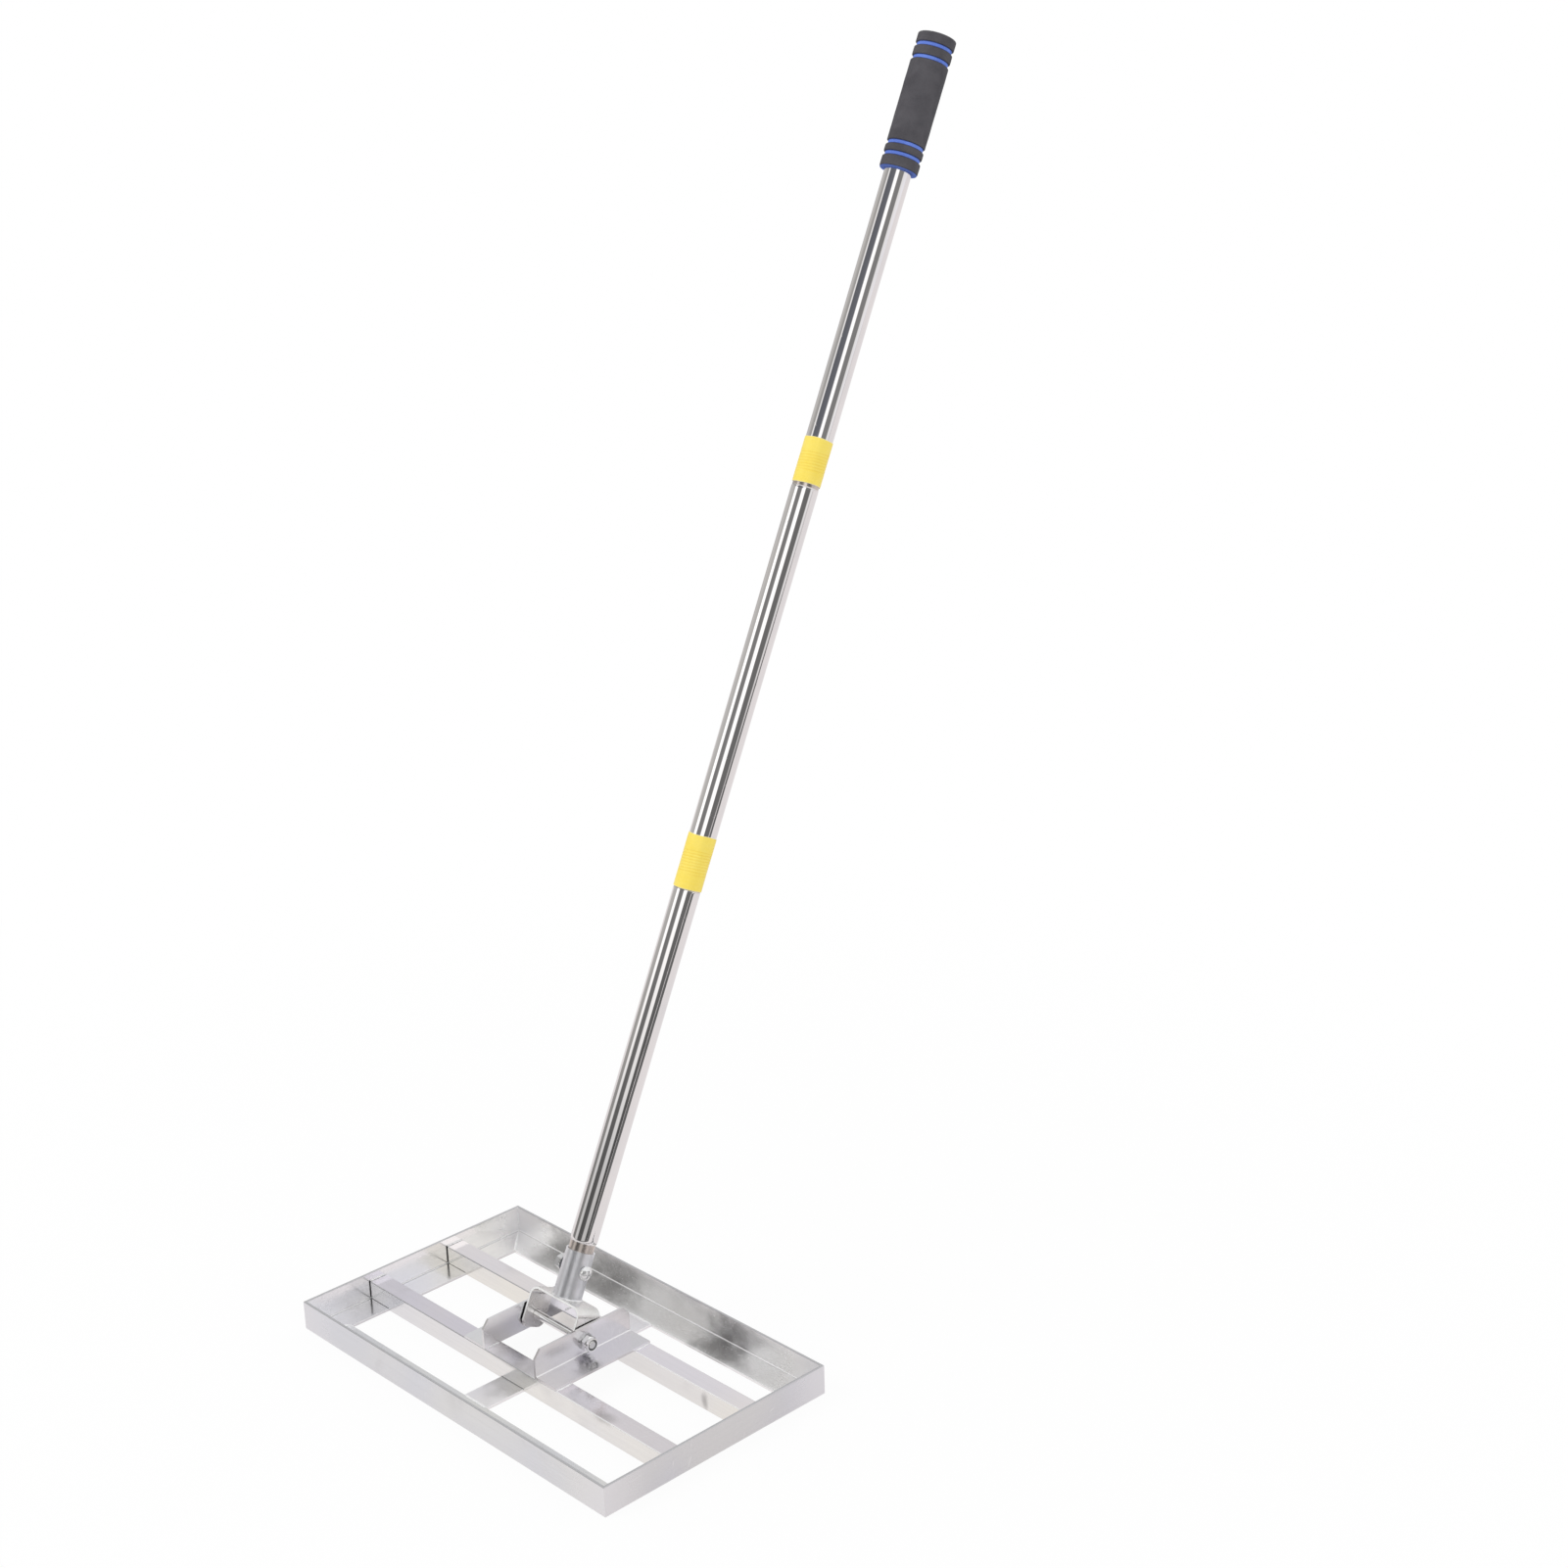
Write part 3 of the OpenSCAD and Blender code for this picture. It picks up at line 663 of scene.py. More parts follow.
BARS = [
    ("front_angle", HEAD_LENGTH, 0, (0, -HEAD_WIDTH / 2, 0), "front", 0.25),
    ("back_angle", HEAD_LENGTH, 180, (0, HEAD_WIDTH / 2, 0), "back", 0.3),
    ("left_angle", HEAD_WIDTH, -90, (-HEAD_LENGTH / 2, 0, 0), "left", 0.15),
    ("right_angle", HEAD_WIDTH, 90, (HEAD_LENGTH / 2, 0, 0), "right", 0.2),
]
for name, run, degrees, shift, kind, bow in BARS:
    rings, marks = angle_bar(run, bow)
    wall = skin(turned_about_z(rings, degrees, shift))
    bar = piece(name + "_bar", [wall], ALUMINIUM[kind], "head", **marks)
    stand_in(bar, name)

# %% [markdown]
# ## Slats and strip
# Two lighter angles cross the head with their long leg to the front: they break up the soil. A
# flat strip under them ties the two long flanges together. They are the same outline carried
# along a straight line, but with square ends that stop a saw cut short of the walls: only the
# weld on top bridges the gap, which reads as a thin dark line.

# %% Slats and strip
SLAT_SPAN, SLAT_HEIGHT, SLAT_DEPTH, SLAT_WALL = 109.5, 18.0, 18.5, 2.0
SLAT_TOP = ANGLE_WALL + SLAT_HEIGHT
STRIP_WIDTH, STRIP_SHIFT = 32.0, 2.5
END_GAP, COPE = 0.8, 1.8
SEAT = STRIP_WIDTH / 2 + 0.3
STEP = np.array([-0.2, 0.2])
FOLD_FROM, HIGHLIGHT_OVER = 5 * (len(BEND_STEPS) + 2), 60.0
SLAT_CORNERS = [(0, ANGLE_WALL), (SLAT_WALL, ANGLE_WALL), (SLAT_WALL, SLAT_TOP - SLAT_WALL),
                (SLAT_DEPTH, SLAT_TOP - SLAT_WALL), (SLAT_DEPTH, SLAT_TOP), (0, SLAT_TOP)]
STRIP_CORNERS = [(-STRIP_WIDTH / 2, 0), (STRIP_WIDTH / 2, 0), (STRIP_WIDTH / 2, ANGLE_WALL),
                 (-STRIP_WIDTH / 2, ANGLE_WALL)]


def straight_bar(corners, radii, x, bow):
    """An outline carried along X through the given stations, with a slight bow."""
    outline, mark = soft_outline(corners, radii)
    y, z = outline.T
    s = x[:, None] / x[-1]
    sag = bow * (1 - s ** 2) * np.cos(2.9 * s)
    return np.stack(np.broadcast_arrays(x[:, None], y + sag, z), -1), np.tile(mark, (len(x), 1))


def slat_bar():
    """A slat, coped at its ends: its front leg is deeper between the flanges and clear of the
    strip. Its values are 1 on the front face, on the half of its fold with a painted highlight,
    on the half with a painted dark line, and in the painted shade of the gap at its ends and
    under its seats."""
    half = IN_X - END_GAP
    ends = half - np.array([0, 0.5, 1.1])
    x = np.unique(np.concatenate([
        np.linspace(-half, half, 41), ends, -ends, MITRE_X + STEP, -MITRE_X + STEP,
        STRIP_SHIFT - SEAT + STEP, STRIP_SHIFT + SEAT + STEP,
    ]))
    rings, mark = straight_bar(SLAT_CORNERS, (0.35, 0.35, 0.9, 0.4, 0.4, 0.6), x, 0.12)
    free = (np.abs(x) < MITRE_X) & (np.abs(x - STRIP_SHIFT) > SEAT)
    low = rings[..., 2] < ANGLE_WALL + 0.36
    fold = mark * (np.arange(mark.shape[1]) >= FOLD_FROM)[None, :]
    # Along the fold, a painted highlight right of the middle and a painted dark line to the left.
    highlit_share = np.clip(x / HIGHLIGHT_OVER, 0, 1)[:, None]
    # Near black painted shade in the gap at each end and under the slat where it sits on the
    # flanges and strip.
    gap = np.clip(1.6 - (half - np.abs(x)) / 0.7, 0, 1)[:, None]
    marks = {"upright": 1.0 * (rings[..., 1] < 0.5), "edge": fold * highlit_share, "rim": fold * (1 - highlit_share),
             "crevice_shade": np.maximum(gap * np.ones_like(mark), low * ~free[:, None] * 0.8)}
    rings[..., 2] -= COPE * (rings[..., 2] < ANGLE_WALL + 1) * free[:, None]
    return rings, marks


rings, marks = slat_bar()
for name, front in (("front_slat", -SLAT_SPAN / 2), ("rear_slat", SLAT_SPAN / 2 - SLAT_DEPTH)):
    bar = piece(name + "_bar", [skin(rings + (0, front, 0))], ALUMINIUM[name], "head", **marks)
    stand_in(bar, name)
rings, mark = straight_bar(STRIP_CORNERS, 0.45, np.linspace(-MITRE_Y, MITRE_Y, 9), 0.0)
wall = skin(turned_about_z(rings, 90, (STRIP_SHIFT, 0, 0)))
# The strip's eased corners carry the painted edge highlight.
strip = piece("cross_strip_bar", [wall], ALUMINIUM["strip"], "head", edge=mark)
stand_in(strip, "cross_strip")

# %% [markdown]
# ## The pole's own axis
# Everything from the yoke up is drawn upright on its own axis, with the height measured from the
# pivot, and is then leaned back by the pole's angle. One small matrix does that, and the same
# matrix from the other side stands a leaning point upright again.

# %% On the pole
PIVOT = np.array([0, 2.8, 34.0])
POLE_TILT = np.array([
    [1, 0, 0], [0, math.cos(LEAN), math.sin(LEAN)], [0, -math.sin(LEAN), math.cos(LEAN)]
])


def on_pole(points):
    """Upright points turned back by the lean and moved to the pivot."""
    return points @ POLE_TILT.T + PIVOT


print("pole leans", round(math.degrees(LEAN), 1), "degrees")

# %% [markdown]
# ## Brackets and yoke
# The brackets and the yoke are bent plate with drilled holes. Their solids already have the right
# form, only their edges are too crisp. So a copy of each solid's mesh is merged at its doubled
# points, its flat faces are joined up again, and a Bevel modifier eases the edges. The hollow of
# each bracket's fold is a strip of its own, because a bend has a radius that catches the light.


# %% Eased copies of plate parts
def eased_copy(node_name, name, material, body, width):
    """A solid's mesh with its doubled points merged, its flat faces joined and its edges eased."""
    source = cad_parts[node_name].data
    flat = np.empty(len(source.vertices) * 3, np.float32)
    source.vertices.foreach_get("co", flat)
    corner = np.empty(len(source.loops), np.int32)
    source.loops.foreach_get("vertex_index", corner)
    places, merged = np.unique(np.round(flat.reshape(-1, 3), 6), axis=0, return_inverse=True)
    triangles = merged.ravel()[corner].reshape(-1, 3)
    mesh = bpy.data.meshes.new(name)
    mesh.from_pydata(places.tolist(), [], triangles.tolist())
    shape = bmesh.new()
    shape.from_mesh(mesh)
    bmesh.ops.dissolve_degenerate(shape, dist=1e-7, edges=shape.edges)
    bmesh.ops.dissolve_limit(
        shape, angle_limit=math.radians(0.5), verts=shape.verts, edges=shape.edges
    )
    shape.to_mesh(mesh)
    shape.free()
    mesh.polygons.foreach_set("use_smooth", np.ones(len(mesh.polygons), bool))
    mesh.materials.append(material)
    made = placed(name, mesh)
    bevel = made.modifiers.new("eased_edges", "BEVEL")
    bevel.width, bevel.segments, bevel.harden_normals = width * MM, 2, True
    bevel.limit_method, bevel.angle_limit = "ANGLE", math.radians(35)
    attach(made, body)
    stand_in(made, node_name)


for side in ("left", "right"):
    solid = side + "_bracket"
    metal = ALUMINIUM[side + "_plate"]
    eased_copy(solid, solid + "_plate", metal, "head", 0.35)

# %% Folds of the brackets
LEG_OUT, FOOT_TOP, FOLD = 38.0, SLAT_TOP + 2.5, 1.4


def fold_fillet(sx):
    """The hollow quarter-round in a bracket's fold, carried along Y. Its edge value, a painted
    highlight, fades up from the foot, where the bend catches the light."""
    t = np.linspace(0, np.pi / 2, 9)
    x = np.concatenate([[-0.05], FOLD - FOLD * np.sin(t)[::-1]]) + LEG_OUT
    z = np.concatenate([[-0.05], FOLD - FOLD * np.cos(t)[::-1]]) + FOOT_TOP
    mark = np.concatenate([[0.0], np.exp(-((t[::-1] - 0.35) / 0.4) ** 2)])
    if sx < 0:
        x, z, mark = -x[::-1], z[::-1], mark[::-1]
    y = np.linspace(-1, 1, 25)[:, None] * (SLAT_SPAN / 2 - 0.3)
    rings = np.stack(np.broadcast_arrays(x, y, z), -1)
    return rings, np.tile(mark, (len(y), 1))


for sx, side in ((-1, "left"), (1, "right")):
    rings, mark = fold_fillet(sx)
    metal = ALUMINIUM[side + "_plate"]
    fold = piece(side + "_bracket_fold", [skin(rings)], metal, "head", edge=mark)
    print(fold.name, len(fold.data.polygons), "faces")

# %% [markdown]
# ## Galvanised and zinc-plated steel
# The yoke and socket are steel with a dip of zinc: bluish grey, with faint crystals and runs. A
# painted highlight makes the sheared edges of the sheet whiter and less metallic. The bolts are
# brighter, thinly plated and smoother.
# All reuse the shared effects with other scales, and the crystals are cells of a Voronoi texture
# that differ a little in tone. Three small inner parts are dark nylon.

# %% Zinc finishes
SHEET_DEPTH = (0, math.cos(LEAN), -math.sin(LEAN))


def zinc_finish(
    name, pale, deep, rough, crystal, crystal_share, lumps, darker_from=1.0, metal=1.0,
    sheet_edge_highlight=False,
):
    """Zinc over steel: two tones in clouds, crystal cells of a size per metre, runs and scratches.
    From a place on X onwards the colour is darker. A white passivated coat is less metallic. The
    sheared edges of a sheet, those that face along its depth, can get a painted highlight: whiter
    and less metallic."""
    material, tree, place = finish(name, leaning=True)
    runs, tone = lines_in(tree, place, (260, 260, 22)), clouds_in(tree, place, 45.0)
    cells = node(tree, "TexVoronoi", {"Vector": place, "Scale": crystal}).outputs["Color"]
    cell = node(tree, "SeparateColor", {0: cells}).outputs[0]
    far = node(tree, "SeparateXYZ", {0: place}).outputs[0]
    colour = over(
        tree, mix(tree, tone, (*pale, 1), (*deep, 1)), (runs, 0.3, (0.8, 0.8, 0.82)),
        (cell, crystal_share, (0.4, 0.41, 0.43)),
        (scratches_in(tree, place, 900.0), 0.3, (0.85, 0.85, 0.85)),
        # Darker from a place on X onwards.
        (stretch(tree, far, darker_from, darker_from + 0.001), 1.0, (0.6, 0.595, 0.59)),
    )
    # A painted highlight: sheet edges that face along its depth turn whiter and less metallic.
    if sheet_edge_highlight:
        normal = node(tree, "TexCoord").outputs["Normal"]
        facing = vector(tree, "DOT_PRODUCT", normal, SHEET_DEPTH, out=1)
        cut = stretch(tree, sums(tree, "ABSOLUTE", facing), 0.9, 0.97)
        colour = over(tree, colour, (cut, 1.0, (0.97, 0.97, 0.96)))
        metal = stretch(tree, cut, 0, 1, metal, 0.2)
    mottled = stretch(tree, added(tree, 0.0, (cell, 0.4), (tone, 0.6)), 0, 1, *rough)
    return coat(material, colour, mottled, metal, sums(tree, "ADD", runs, tone), lumps)


THREAD_FROM = 0.0385
ZINC = {name: zinc_finish(name, *look) for name, look in {
    "galvanised_tube": ((0.9, 0.915, 0.945), (0.77, 0.785, 0.815), (0.3, 0.42), 420.0, 0.05, 0.06),
    "zinc_sheet": (
        (0.79, 0.775, 0.755), (0.68, 0.67, 0.65), (0.2, 0.3), 500.0, 0.1, 0.15, 1.0, 1.0, True),
    "zinc_plate": ((0.9, 0.9, 0.89), (0.76, 0.76, 0.76), (0.06, 0.12), 900.0, 0.05, 0.04),
    "bolt_zinc": (
        (0.95, 0.95, 0.945), (0.84, 0.84, 0.84), (0.1, 0.16), 900.0, 0.05, 0.04, THREAD_FROM),
    "clamp_zinc": (
        (0.93, 0.93, 0.925), (0.68, 0.68, 0.68), (0.1, 0.2), 900.0, 0.2, 0.06, 1.0, 0.7),
    "nut_zinc": ((0.8, 0.8, 0.79), (0.55, 0.55, 0.55), (0.1, 0.18), 900.0, 0.3, 0.06),
}.items()}
eased_copy("yoke", "yoke_plate", ZINC["zinc_sheet"], "handle", 0.4)
PLATED = {"socket_tube": "galvanised_tube", "pivot_bolt": "bolt_zinc", "pivot_washers": "nut_zinc",
          "lock_nut": "zinc_plate", "clamp_screw": "clamp_zinc", "clamp_washer": "nut_zinc",
          "clamp_nut": "clamp_zinc"}
for name, kind in PLATED.items():
    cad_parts[name].material_slots[0].material = ZINC[kind]
print("zinc on", len(PLATED) + 1, "parts")


# %% Dark nylon
def dark_nylon():
    """Moulded nylon: near black, a little uneven, with a soft gloss."""
    material, tree, place = finish("dark_nylon")
    tone = clouds_in(tree, place, 160.0)
    colour = mix(tree, tone, (0.13, 0.13, 0.132, 1), (0.2, 0.198, 0.2, 1))
    return coat(material, colour, stretch(tree, tone, 0, 1, 0.38, 0.55), 0.0, tone, 0.2, 0.0002)


nylon = dark_nylon()
for name in ("friction_washers", "lock_nut_insert", "end_plug"):
    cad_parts[name].material_slots[0].material = nylon
print("nylon on 3 parts")

# %% [markdown]
# ## Weld beads
# The bars, brackets and socket are welded, and each weld leaves a narrow rippled bead. A bead is a
# small circle carried along the joint: its radius swells once for every puddle of the torch, it
# wanders a little from side to side, and it tapers at both ends. The ripples lean back at the
# sides of the bead, as a real puddle does.

# %% Bead shape
RIPPLE, UNEVEN, DRIFT, LAG = 0.08, 0.12, 0.3, 1.3
BEAD_AROUND = np.linspace(0, 2 * np.pi, 14, endpoint=False)[None, :]


def wander(s, seed):
    """A smooth uneven line: three sines of unrelated lengths, with their phases set by a seed."""
    waves = np.sin(0.9 * s + 1.7 * seed) + np.sin(1.7 * s + 2.9 * seed) + np.sin(0.37 * s + seed)
    return waves / 3


def bead(start, end, outward, radius, seed, flat=1.0, pitch=1.9):
    """A bead between two points. radius(s, a) = r * taper * (1 + ripple), and the ripple is a
    cosine along s whose phase falls behind with the angle a from the outward direction."""
    start, end = np.array(start, float), np.array(end, float)
    length = np.linalg.norm(end - start)
    ahead = (end - start) / length
    out = np.array(outward, float)
    out -= ahead * (out @ ahead)
    out /= np.linalg.norm(out)
    side = np.cross(ahead, out)
    s = np.linspace(0, length, max(24, int(length * 4)))[:, None]
    a = BEAD_AROUND
    taper = np.sqrt(np.clip(1 - np.abs(2 * s / length - 1) ** 8, 0.02, 1))
    ripple = RIPPLE * np.cos(2 * np.pi * s / pitch + LAG * np.cos(a)) + UNEVEN * wander(s, seed)
    r = radius * taper * (1 + ripple)
    drift = DRIFT * radius * wander(s + 3.1, seed + 2.0)
    centre = start + ahead * s
    rings = (
        centre[:, None] + (r * np.cos(a) * flat)[..., None] * out
        + (r * np.sin(a) + drift)[..., None] * side
    )
    return skin(rings)


def weld_finish(name, pale, deep, metal):
    """Bead metal: bright, silky, with a frosting of fine grain and sooty flecks."""
    material, tree, place = finish(name)
    tone, soot = clouds_in(tree, place, 130.0), clouds_in(tree, place, 320.0, 0.62, 0.75)
    colour = mix(tree, tone, (*pale, 1), (*deep, 1))
    colour = over(tree, colour, (soot, 0.25, (0.35, 0.34, 0.33)))
    return coat(material, colour, stretch(tree, tone, 0, 1, 0.35, 0.5), metal, tone, 0.3)


weld_metal = weld_finish("weld_bead", (1.0, 1.0, 1.0), (0.92, 0.92, 0.93), 0.05)
zinc_weld = weld_finish("zinc_weld_bead", (0.93, 0.93, 0.94), (0.66, 0.66, 0.67), 0.6)
print("bead of 10 mm:", len(bead((0, 0, 0), (10, 0, 0), (0, 0, 1), 1.0, 1)[0]), "points")

# %% Beads on the head
BRACKET_IN, BRACKET_OUT = 35.5, 65.5
HEAD_BEADS = {"corner_welds": [], "slat_welds": [], "bracket_welds": [], "strip_welds": []}
seed = 0
for sx in (-1, 1):
    for sy in (-1, 1):
        seed += 1
        corner, root = (sx * IN_X, sy * IN_Y), (sx * (IN_X - 0.6), sy * (IN_Y - 0.6), ANGLE_WALL)
        mitre = (sx * (MITRE_X + 0.5), sy * (MITRE_Y + 0.5), ANGLE_WALL)
        HEAD_BEADS["corner_welds"] += [
            bead((*corner, ANGLE_WALL), (*corner, WALL_HEIGHT - 0.2), (-sx, -sy, 0), 1.15, seed),
            bead(root, mitre, (0, 0, 1), 1.25, seed + 0.5, 0.55),
        ]
        near = -SLAT_SPAN / 2 if sy < 0 else SLAT_SPAN / 2 - SLAT_DEPTH
        far = near + SLAT_DEPTH
        for name, x, before, after, outward, radius, number in (
            ("slat_welds", IN_X, 0.5, 0.5, -1, 1.2, 9),
            ("bracket_welds", BRACKET_OUT, 0.5, -0.5, 1, 1.1, 17),
            ("bracket_welds", BRACKET_IN, 2.5, -2.0, -1, 0.95, 23),
        ):
            HEAD_BEADS[name].append(bead(
                (sx * x, near + before, SLAT_TOP), (sx * x, far + after, SLAT_TOP),
                (outward * sx, 0, 1), radius, seed + number,
            ))
for sy in (-1, 1):
    left, right = STRIP_SHIFT - STRIP_WIDTH / 2 + 1, STRIP_SHIFT + STRIP_WIDTH / 2 - 1
    ends = ((x, sy * MITRE_Y, ANGLE_WALL) for x in (left, right))
    HEAD_BEADS["strip_welds"].append(bead(*ends, (0, 0, 1), 1.3, 40 + sy, 0.45))
for name, beads in HEAD_BEADS.items():
    made = piece(name, beads, weld_metal, "head", 80.0)
    print(name, len(beads), "beads", len(made.data.polygons), "faces")

# %% [markdown]
# ## The weld round the socket
# The socket stands on the yoke in a ring of weld. It is the same bead, but its path is a circle,
# so its last ring joins its first. It is flatter and more uneven, as a hand weld on thin plate
# is, and thin at the front and back, where the plate is hardly deeper than the tube.

# %% Socket weld
SOCKET_D, WEB_TOP = 26.8, 27.5


def ring_bead(radius, height, thick, seed, pitch=2.4):
    """A bead round a tube: path angle t and bead angle a, with a whole number of ripples along the
    path, so that it closes. It thins with the cosine of t towards the front and back."""
    t = np.linspace(0, 2 * np.pi, 260, endpoint=False)[:, None]
    a = BEAD_AROUND
    ripples = round(2 * np.pi * radius / pitch)
    uneven = 0.5 * np.sin(3 * t + seed) + 0.5 * np.sin(7 * t + 2 * seed)
    ledge = 0.45 + 0.55 * np.cos(t) ** 2
    r = thick * ledge * (1 + 0.05 * np.cos(ripples * t + LAG * np.cos(a - 0.8)) + 0.25 * uneven)
    far = radius + r * np.cos(a)
    rings = np.stack([far * np.cos(t), far * np.sin(t), height + r * np.sin(a)], -1)
    return skin(rings[:, ::-1], loop=True)


points, faces = ring_bead(SOCKET_D / 2 + 0.2, WEB_TOP + 0.2, 1.6, 1.0)
socket_weld = piece("socket_weld", [(on_pole(points), faces)], zinc_weld, "handle", 80.0)
print("socket weld", len(faces), "faces")

# %% [markdown]
# ## Polished stainless tube
# Each of the three pole sections is thin stainless tube, ground and polished along its length. Its
# lower end is rolled down to a neck with a round thread, which screws into the section below, and
# a shallow seam is rolled in just below each yellow film. The wall is one closed outline turned
# about the axis: up the outside, over the rim and down the inside. The thread is a groove whose
# depth depends on height and angle together.


# %% Polished finish
def polished_stainless():
    """A mirror with a breath of haze, fine polishing lines along the tube and a few scratches.
    The neck and the seam are rougher, and painted darker as shade.
    """
    material, tree, place = finish("polished_stainless", leaning=True)
    lines, haze = lines_in(tree, place, (900, 900, 14)), clouds_in(tree, place, 26.0, 0.35, 0.8)
    scratch, neck = scratches_in(tree, place, 800.0), stored(tree, "neck")
    colour = over(
        tree, mix(tree, haze, (0.86, 0.845, 0.84, 1), (0.81, 0.805, 0.81, 1)),
        # The neck and the seam are painted darker, a painted shade.
        (lines, 0.1, (0.6, 0.59, 0.58)), (neck, 0.85, (0.6, 0.53, 0.48)),
    )
    rough = added(tree, stretch(tree, haze, 0, 1, 0.02, 0.055), (scratch, 0.12), (neck, 0.22))
    return coat(material, colour, rough, 1.0, added(tree, haze, (lines, 0.2)), 0.06)


stainless = polished_stainless()
print("polished finish ready")

# %% Pole sections
TUBE_R, TUBE_WALL, SECTION, NECK, NECK_R = 12.7, 0.5, 374.6, 44.0, 11.75
SHOULDER, THREAD_LEAD, NECK_GROOVE, RIM_GROOVE = 80.0, 5.4, 0.35, 0.28
SHOULDER_CURL = 3.6
SEAM_DEPTH, FINE_ZONE, RIM_ZONE = 0.42, 46.0, (36.0, 3.0)
NECK_ZONE, THREAD_EASE = (2.0 - NECK, -9.0), 3.0
SEAMS = {"lower": (45.0, 42.7, 42.2), "middle": (42.5, 40.2, 37.1), "upper": None}
AROUND = np.linspace(0, 2 * np.pi, 96, endpoint=False)


def thread_groove(z, angle, lead, starts=1):
    """Depth of a round thread, 0 to 1: a raised cosine of height less the turn round the axis."""
    return (0.5 + 0.5 * np.cos(starts * (2 * np.pi * z / lead - angle))) ** 1.5


def window(z, low, high, soft):
    """1 between two heights, eased to 0 over a soft length inside each."""
    return np.clip((z - low) / soft, 0, 1) * np.clip((high - z) / soft, 0, 1)


def chain(*parts):
    """One outline from parts of heights and radii. A lone number holds for its whole part."""
    pairs = [np.stack(np.broadcast_arrays(np.atleast_1d(z), r), -1) for z, r in parts]
    return np.concatenate(pairs).T


def turned(z, r, depth, lead, starts=1):
    """An outline of heights and radii turned about the axis, with a thread cut to a depth."""
    cut = depth[:, None] * thread_groove(z[:, None], AROUND[None, :], lead, starts)
    far = r[:, None] - cut
    return np.stack(np.broadcast_arrays(far * np.cos(AROUND), far * np.sin(AROUND), z[:, None]), -1)


def seam_cut(z, seam):
    """Depth of the rolled seam at a height: a quarter round that ends in a flat groove."""
    if seam is None:
        return np.zeros(len(z))
    start, end, top = (SECTION - below for below in seam)
    curl = np.clip((z - start) / (end - start), 0, 1)
    return SEAM_DEPTH * (1 - np.sqrt(1 - curl ** 2)) * (z < top)


def pole_section(seam):
    """One section with its shoulder at height 0: neck, rounded shoulder, tube, rim, inner wall.
    Only a rim with a seam below it is threaded. Also returns a value that is 1 on the rolled neck
    and in the seam, where it paints shade."""
    curl = np.linspace(0, 1, 10)
    plain = np.linspace(5, SECTION - FINE_ZONE - 1, 12)
    tube_z = np.concatenate([plain, np.linspace(SECTION - FINE_ZONE, SECTION - 0.4, 230)])
    outer = chain(
        (np.linspace(-NECK, -0.05, 110), NECK_R),
        (SHOULDER_CURL * curl, NECK_R + (TUBE_R - NECK_R) * np.sqrt(1 - (1 - curl) ** 2)),
        (tube_z, TUBE_R - seam_cut(tube_z, seam)),
    )
    rim_z, rim_r = np.array([0.12, 0.0, 0.0, 0.12]), np.array([0.08, 0.18, 0.34, TUBE_WALL])
    inner_r = np.array([TUBE_R, TUBE_R, NECK_R + TUBE_WALL, NECK_R, NECK_R]) - TUBE_WALL
    inner = ([SECTION - 6, 2.6, 0.8, -1.0, -NECK], inner_r)
    z, r = chain(outer, (SECTION - rim_z, TUBE_R - rim_r), inner)
    outside = np.arange(len(z)) < outer.shape[1]
    depth = NECK_GROOVE * window(z, *NECK_ZONE, THREAD_EASE)
    if seam:
        depth = depth + RIM_GROOVE * window(z, *(SECTION - np.array(RIM_ZONE)), THREAD_EASE)
    rings = turned(z, r, depth * outside, THREAD_LEAD)
    rolled_shade = np.maximum(z < -0.2, outside * seam_cut(z, seam) / SEAM_DEPTH)
    return rings, np.broadcast_to(rolled_shade[:, None], rings.shape[:2])


for count, (name, seam) in enumerate(SEAMS.items()):
    rings, neck = pole_section(seam)
    rings = on_pole(rings + (0, 0, SHOULDER + count * SECTION))
    tube = piece(name + "_tube", [skin(rings, loop=True)], stainless, "handle", 40.0, neck=neck)
    stand_in(tube, name + "_pole")

# %% [markdown]
# ## Yellow film
# A sleeve of yellow film is shrunk over each screwed joint. It is thin, so the thread under it
# shows as a few fine rings, and its cut ends are not quite level. The sleeve is a thin wall turned
# about the axis, with shallow rings over its middle and ends that waver with the angle.


# %% Film finish and sleeves
def yellow_film():
    """Soft plastic film: warm yellow with paler and deeper clouds and a low gloss."""
    material, tree, place = finish("yellow_film", leaning=True)
    tone, pull = clouds_in(tree, place, 38.0), lines_in(tree, place, (90, 90, 700))
    colour = over(
        tree, mix(tree, tone, (0.97, 0.78, 0.13, 1), (0.96, 0.74, 0.095, 1)),
        # The rings are painted darker: a painted shade in the thread's grooves.
        (pull, 0.12, (0.99, 0.88, 0.36)), (stored(tree, "ring"), 0.55, (0.88, 0.6, 0.05)),
        (stored(tree, "edge"), 0.7, (1.0, 0.95, 0.62)),
    )
    rough = stretch(tree, tone, 0, 1, 0.34, 0.48)
    return coat(material, colour, rough, 0.0, added(tree, tone, (pull, 0.4)), 0.15)


FILM_IN, FILM_OUT = 12.75, 13.15
RING_DEPTH, RING_ZONE, WAVER, WAVER_FADE = 0.16, (0.27, 0.72), 0.3, 6.0
film = yellow_film()


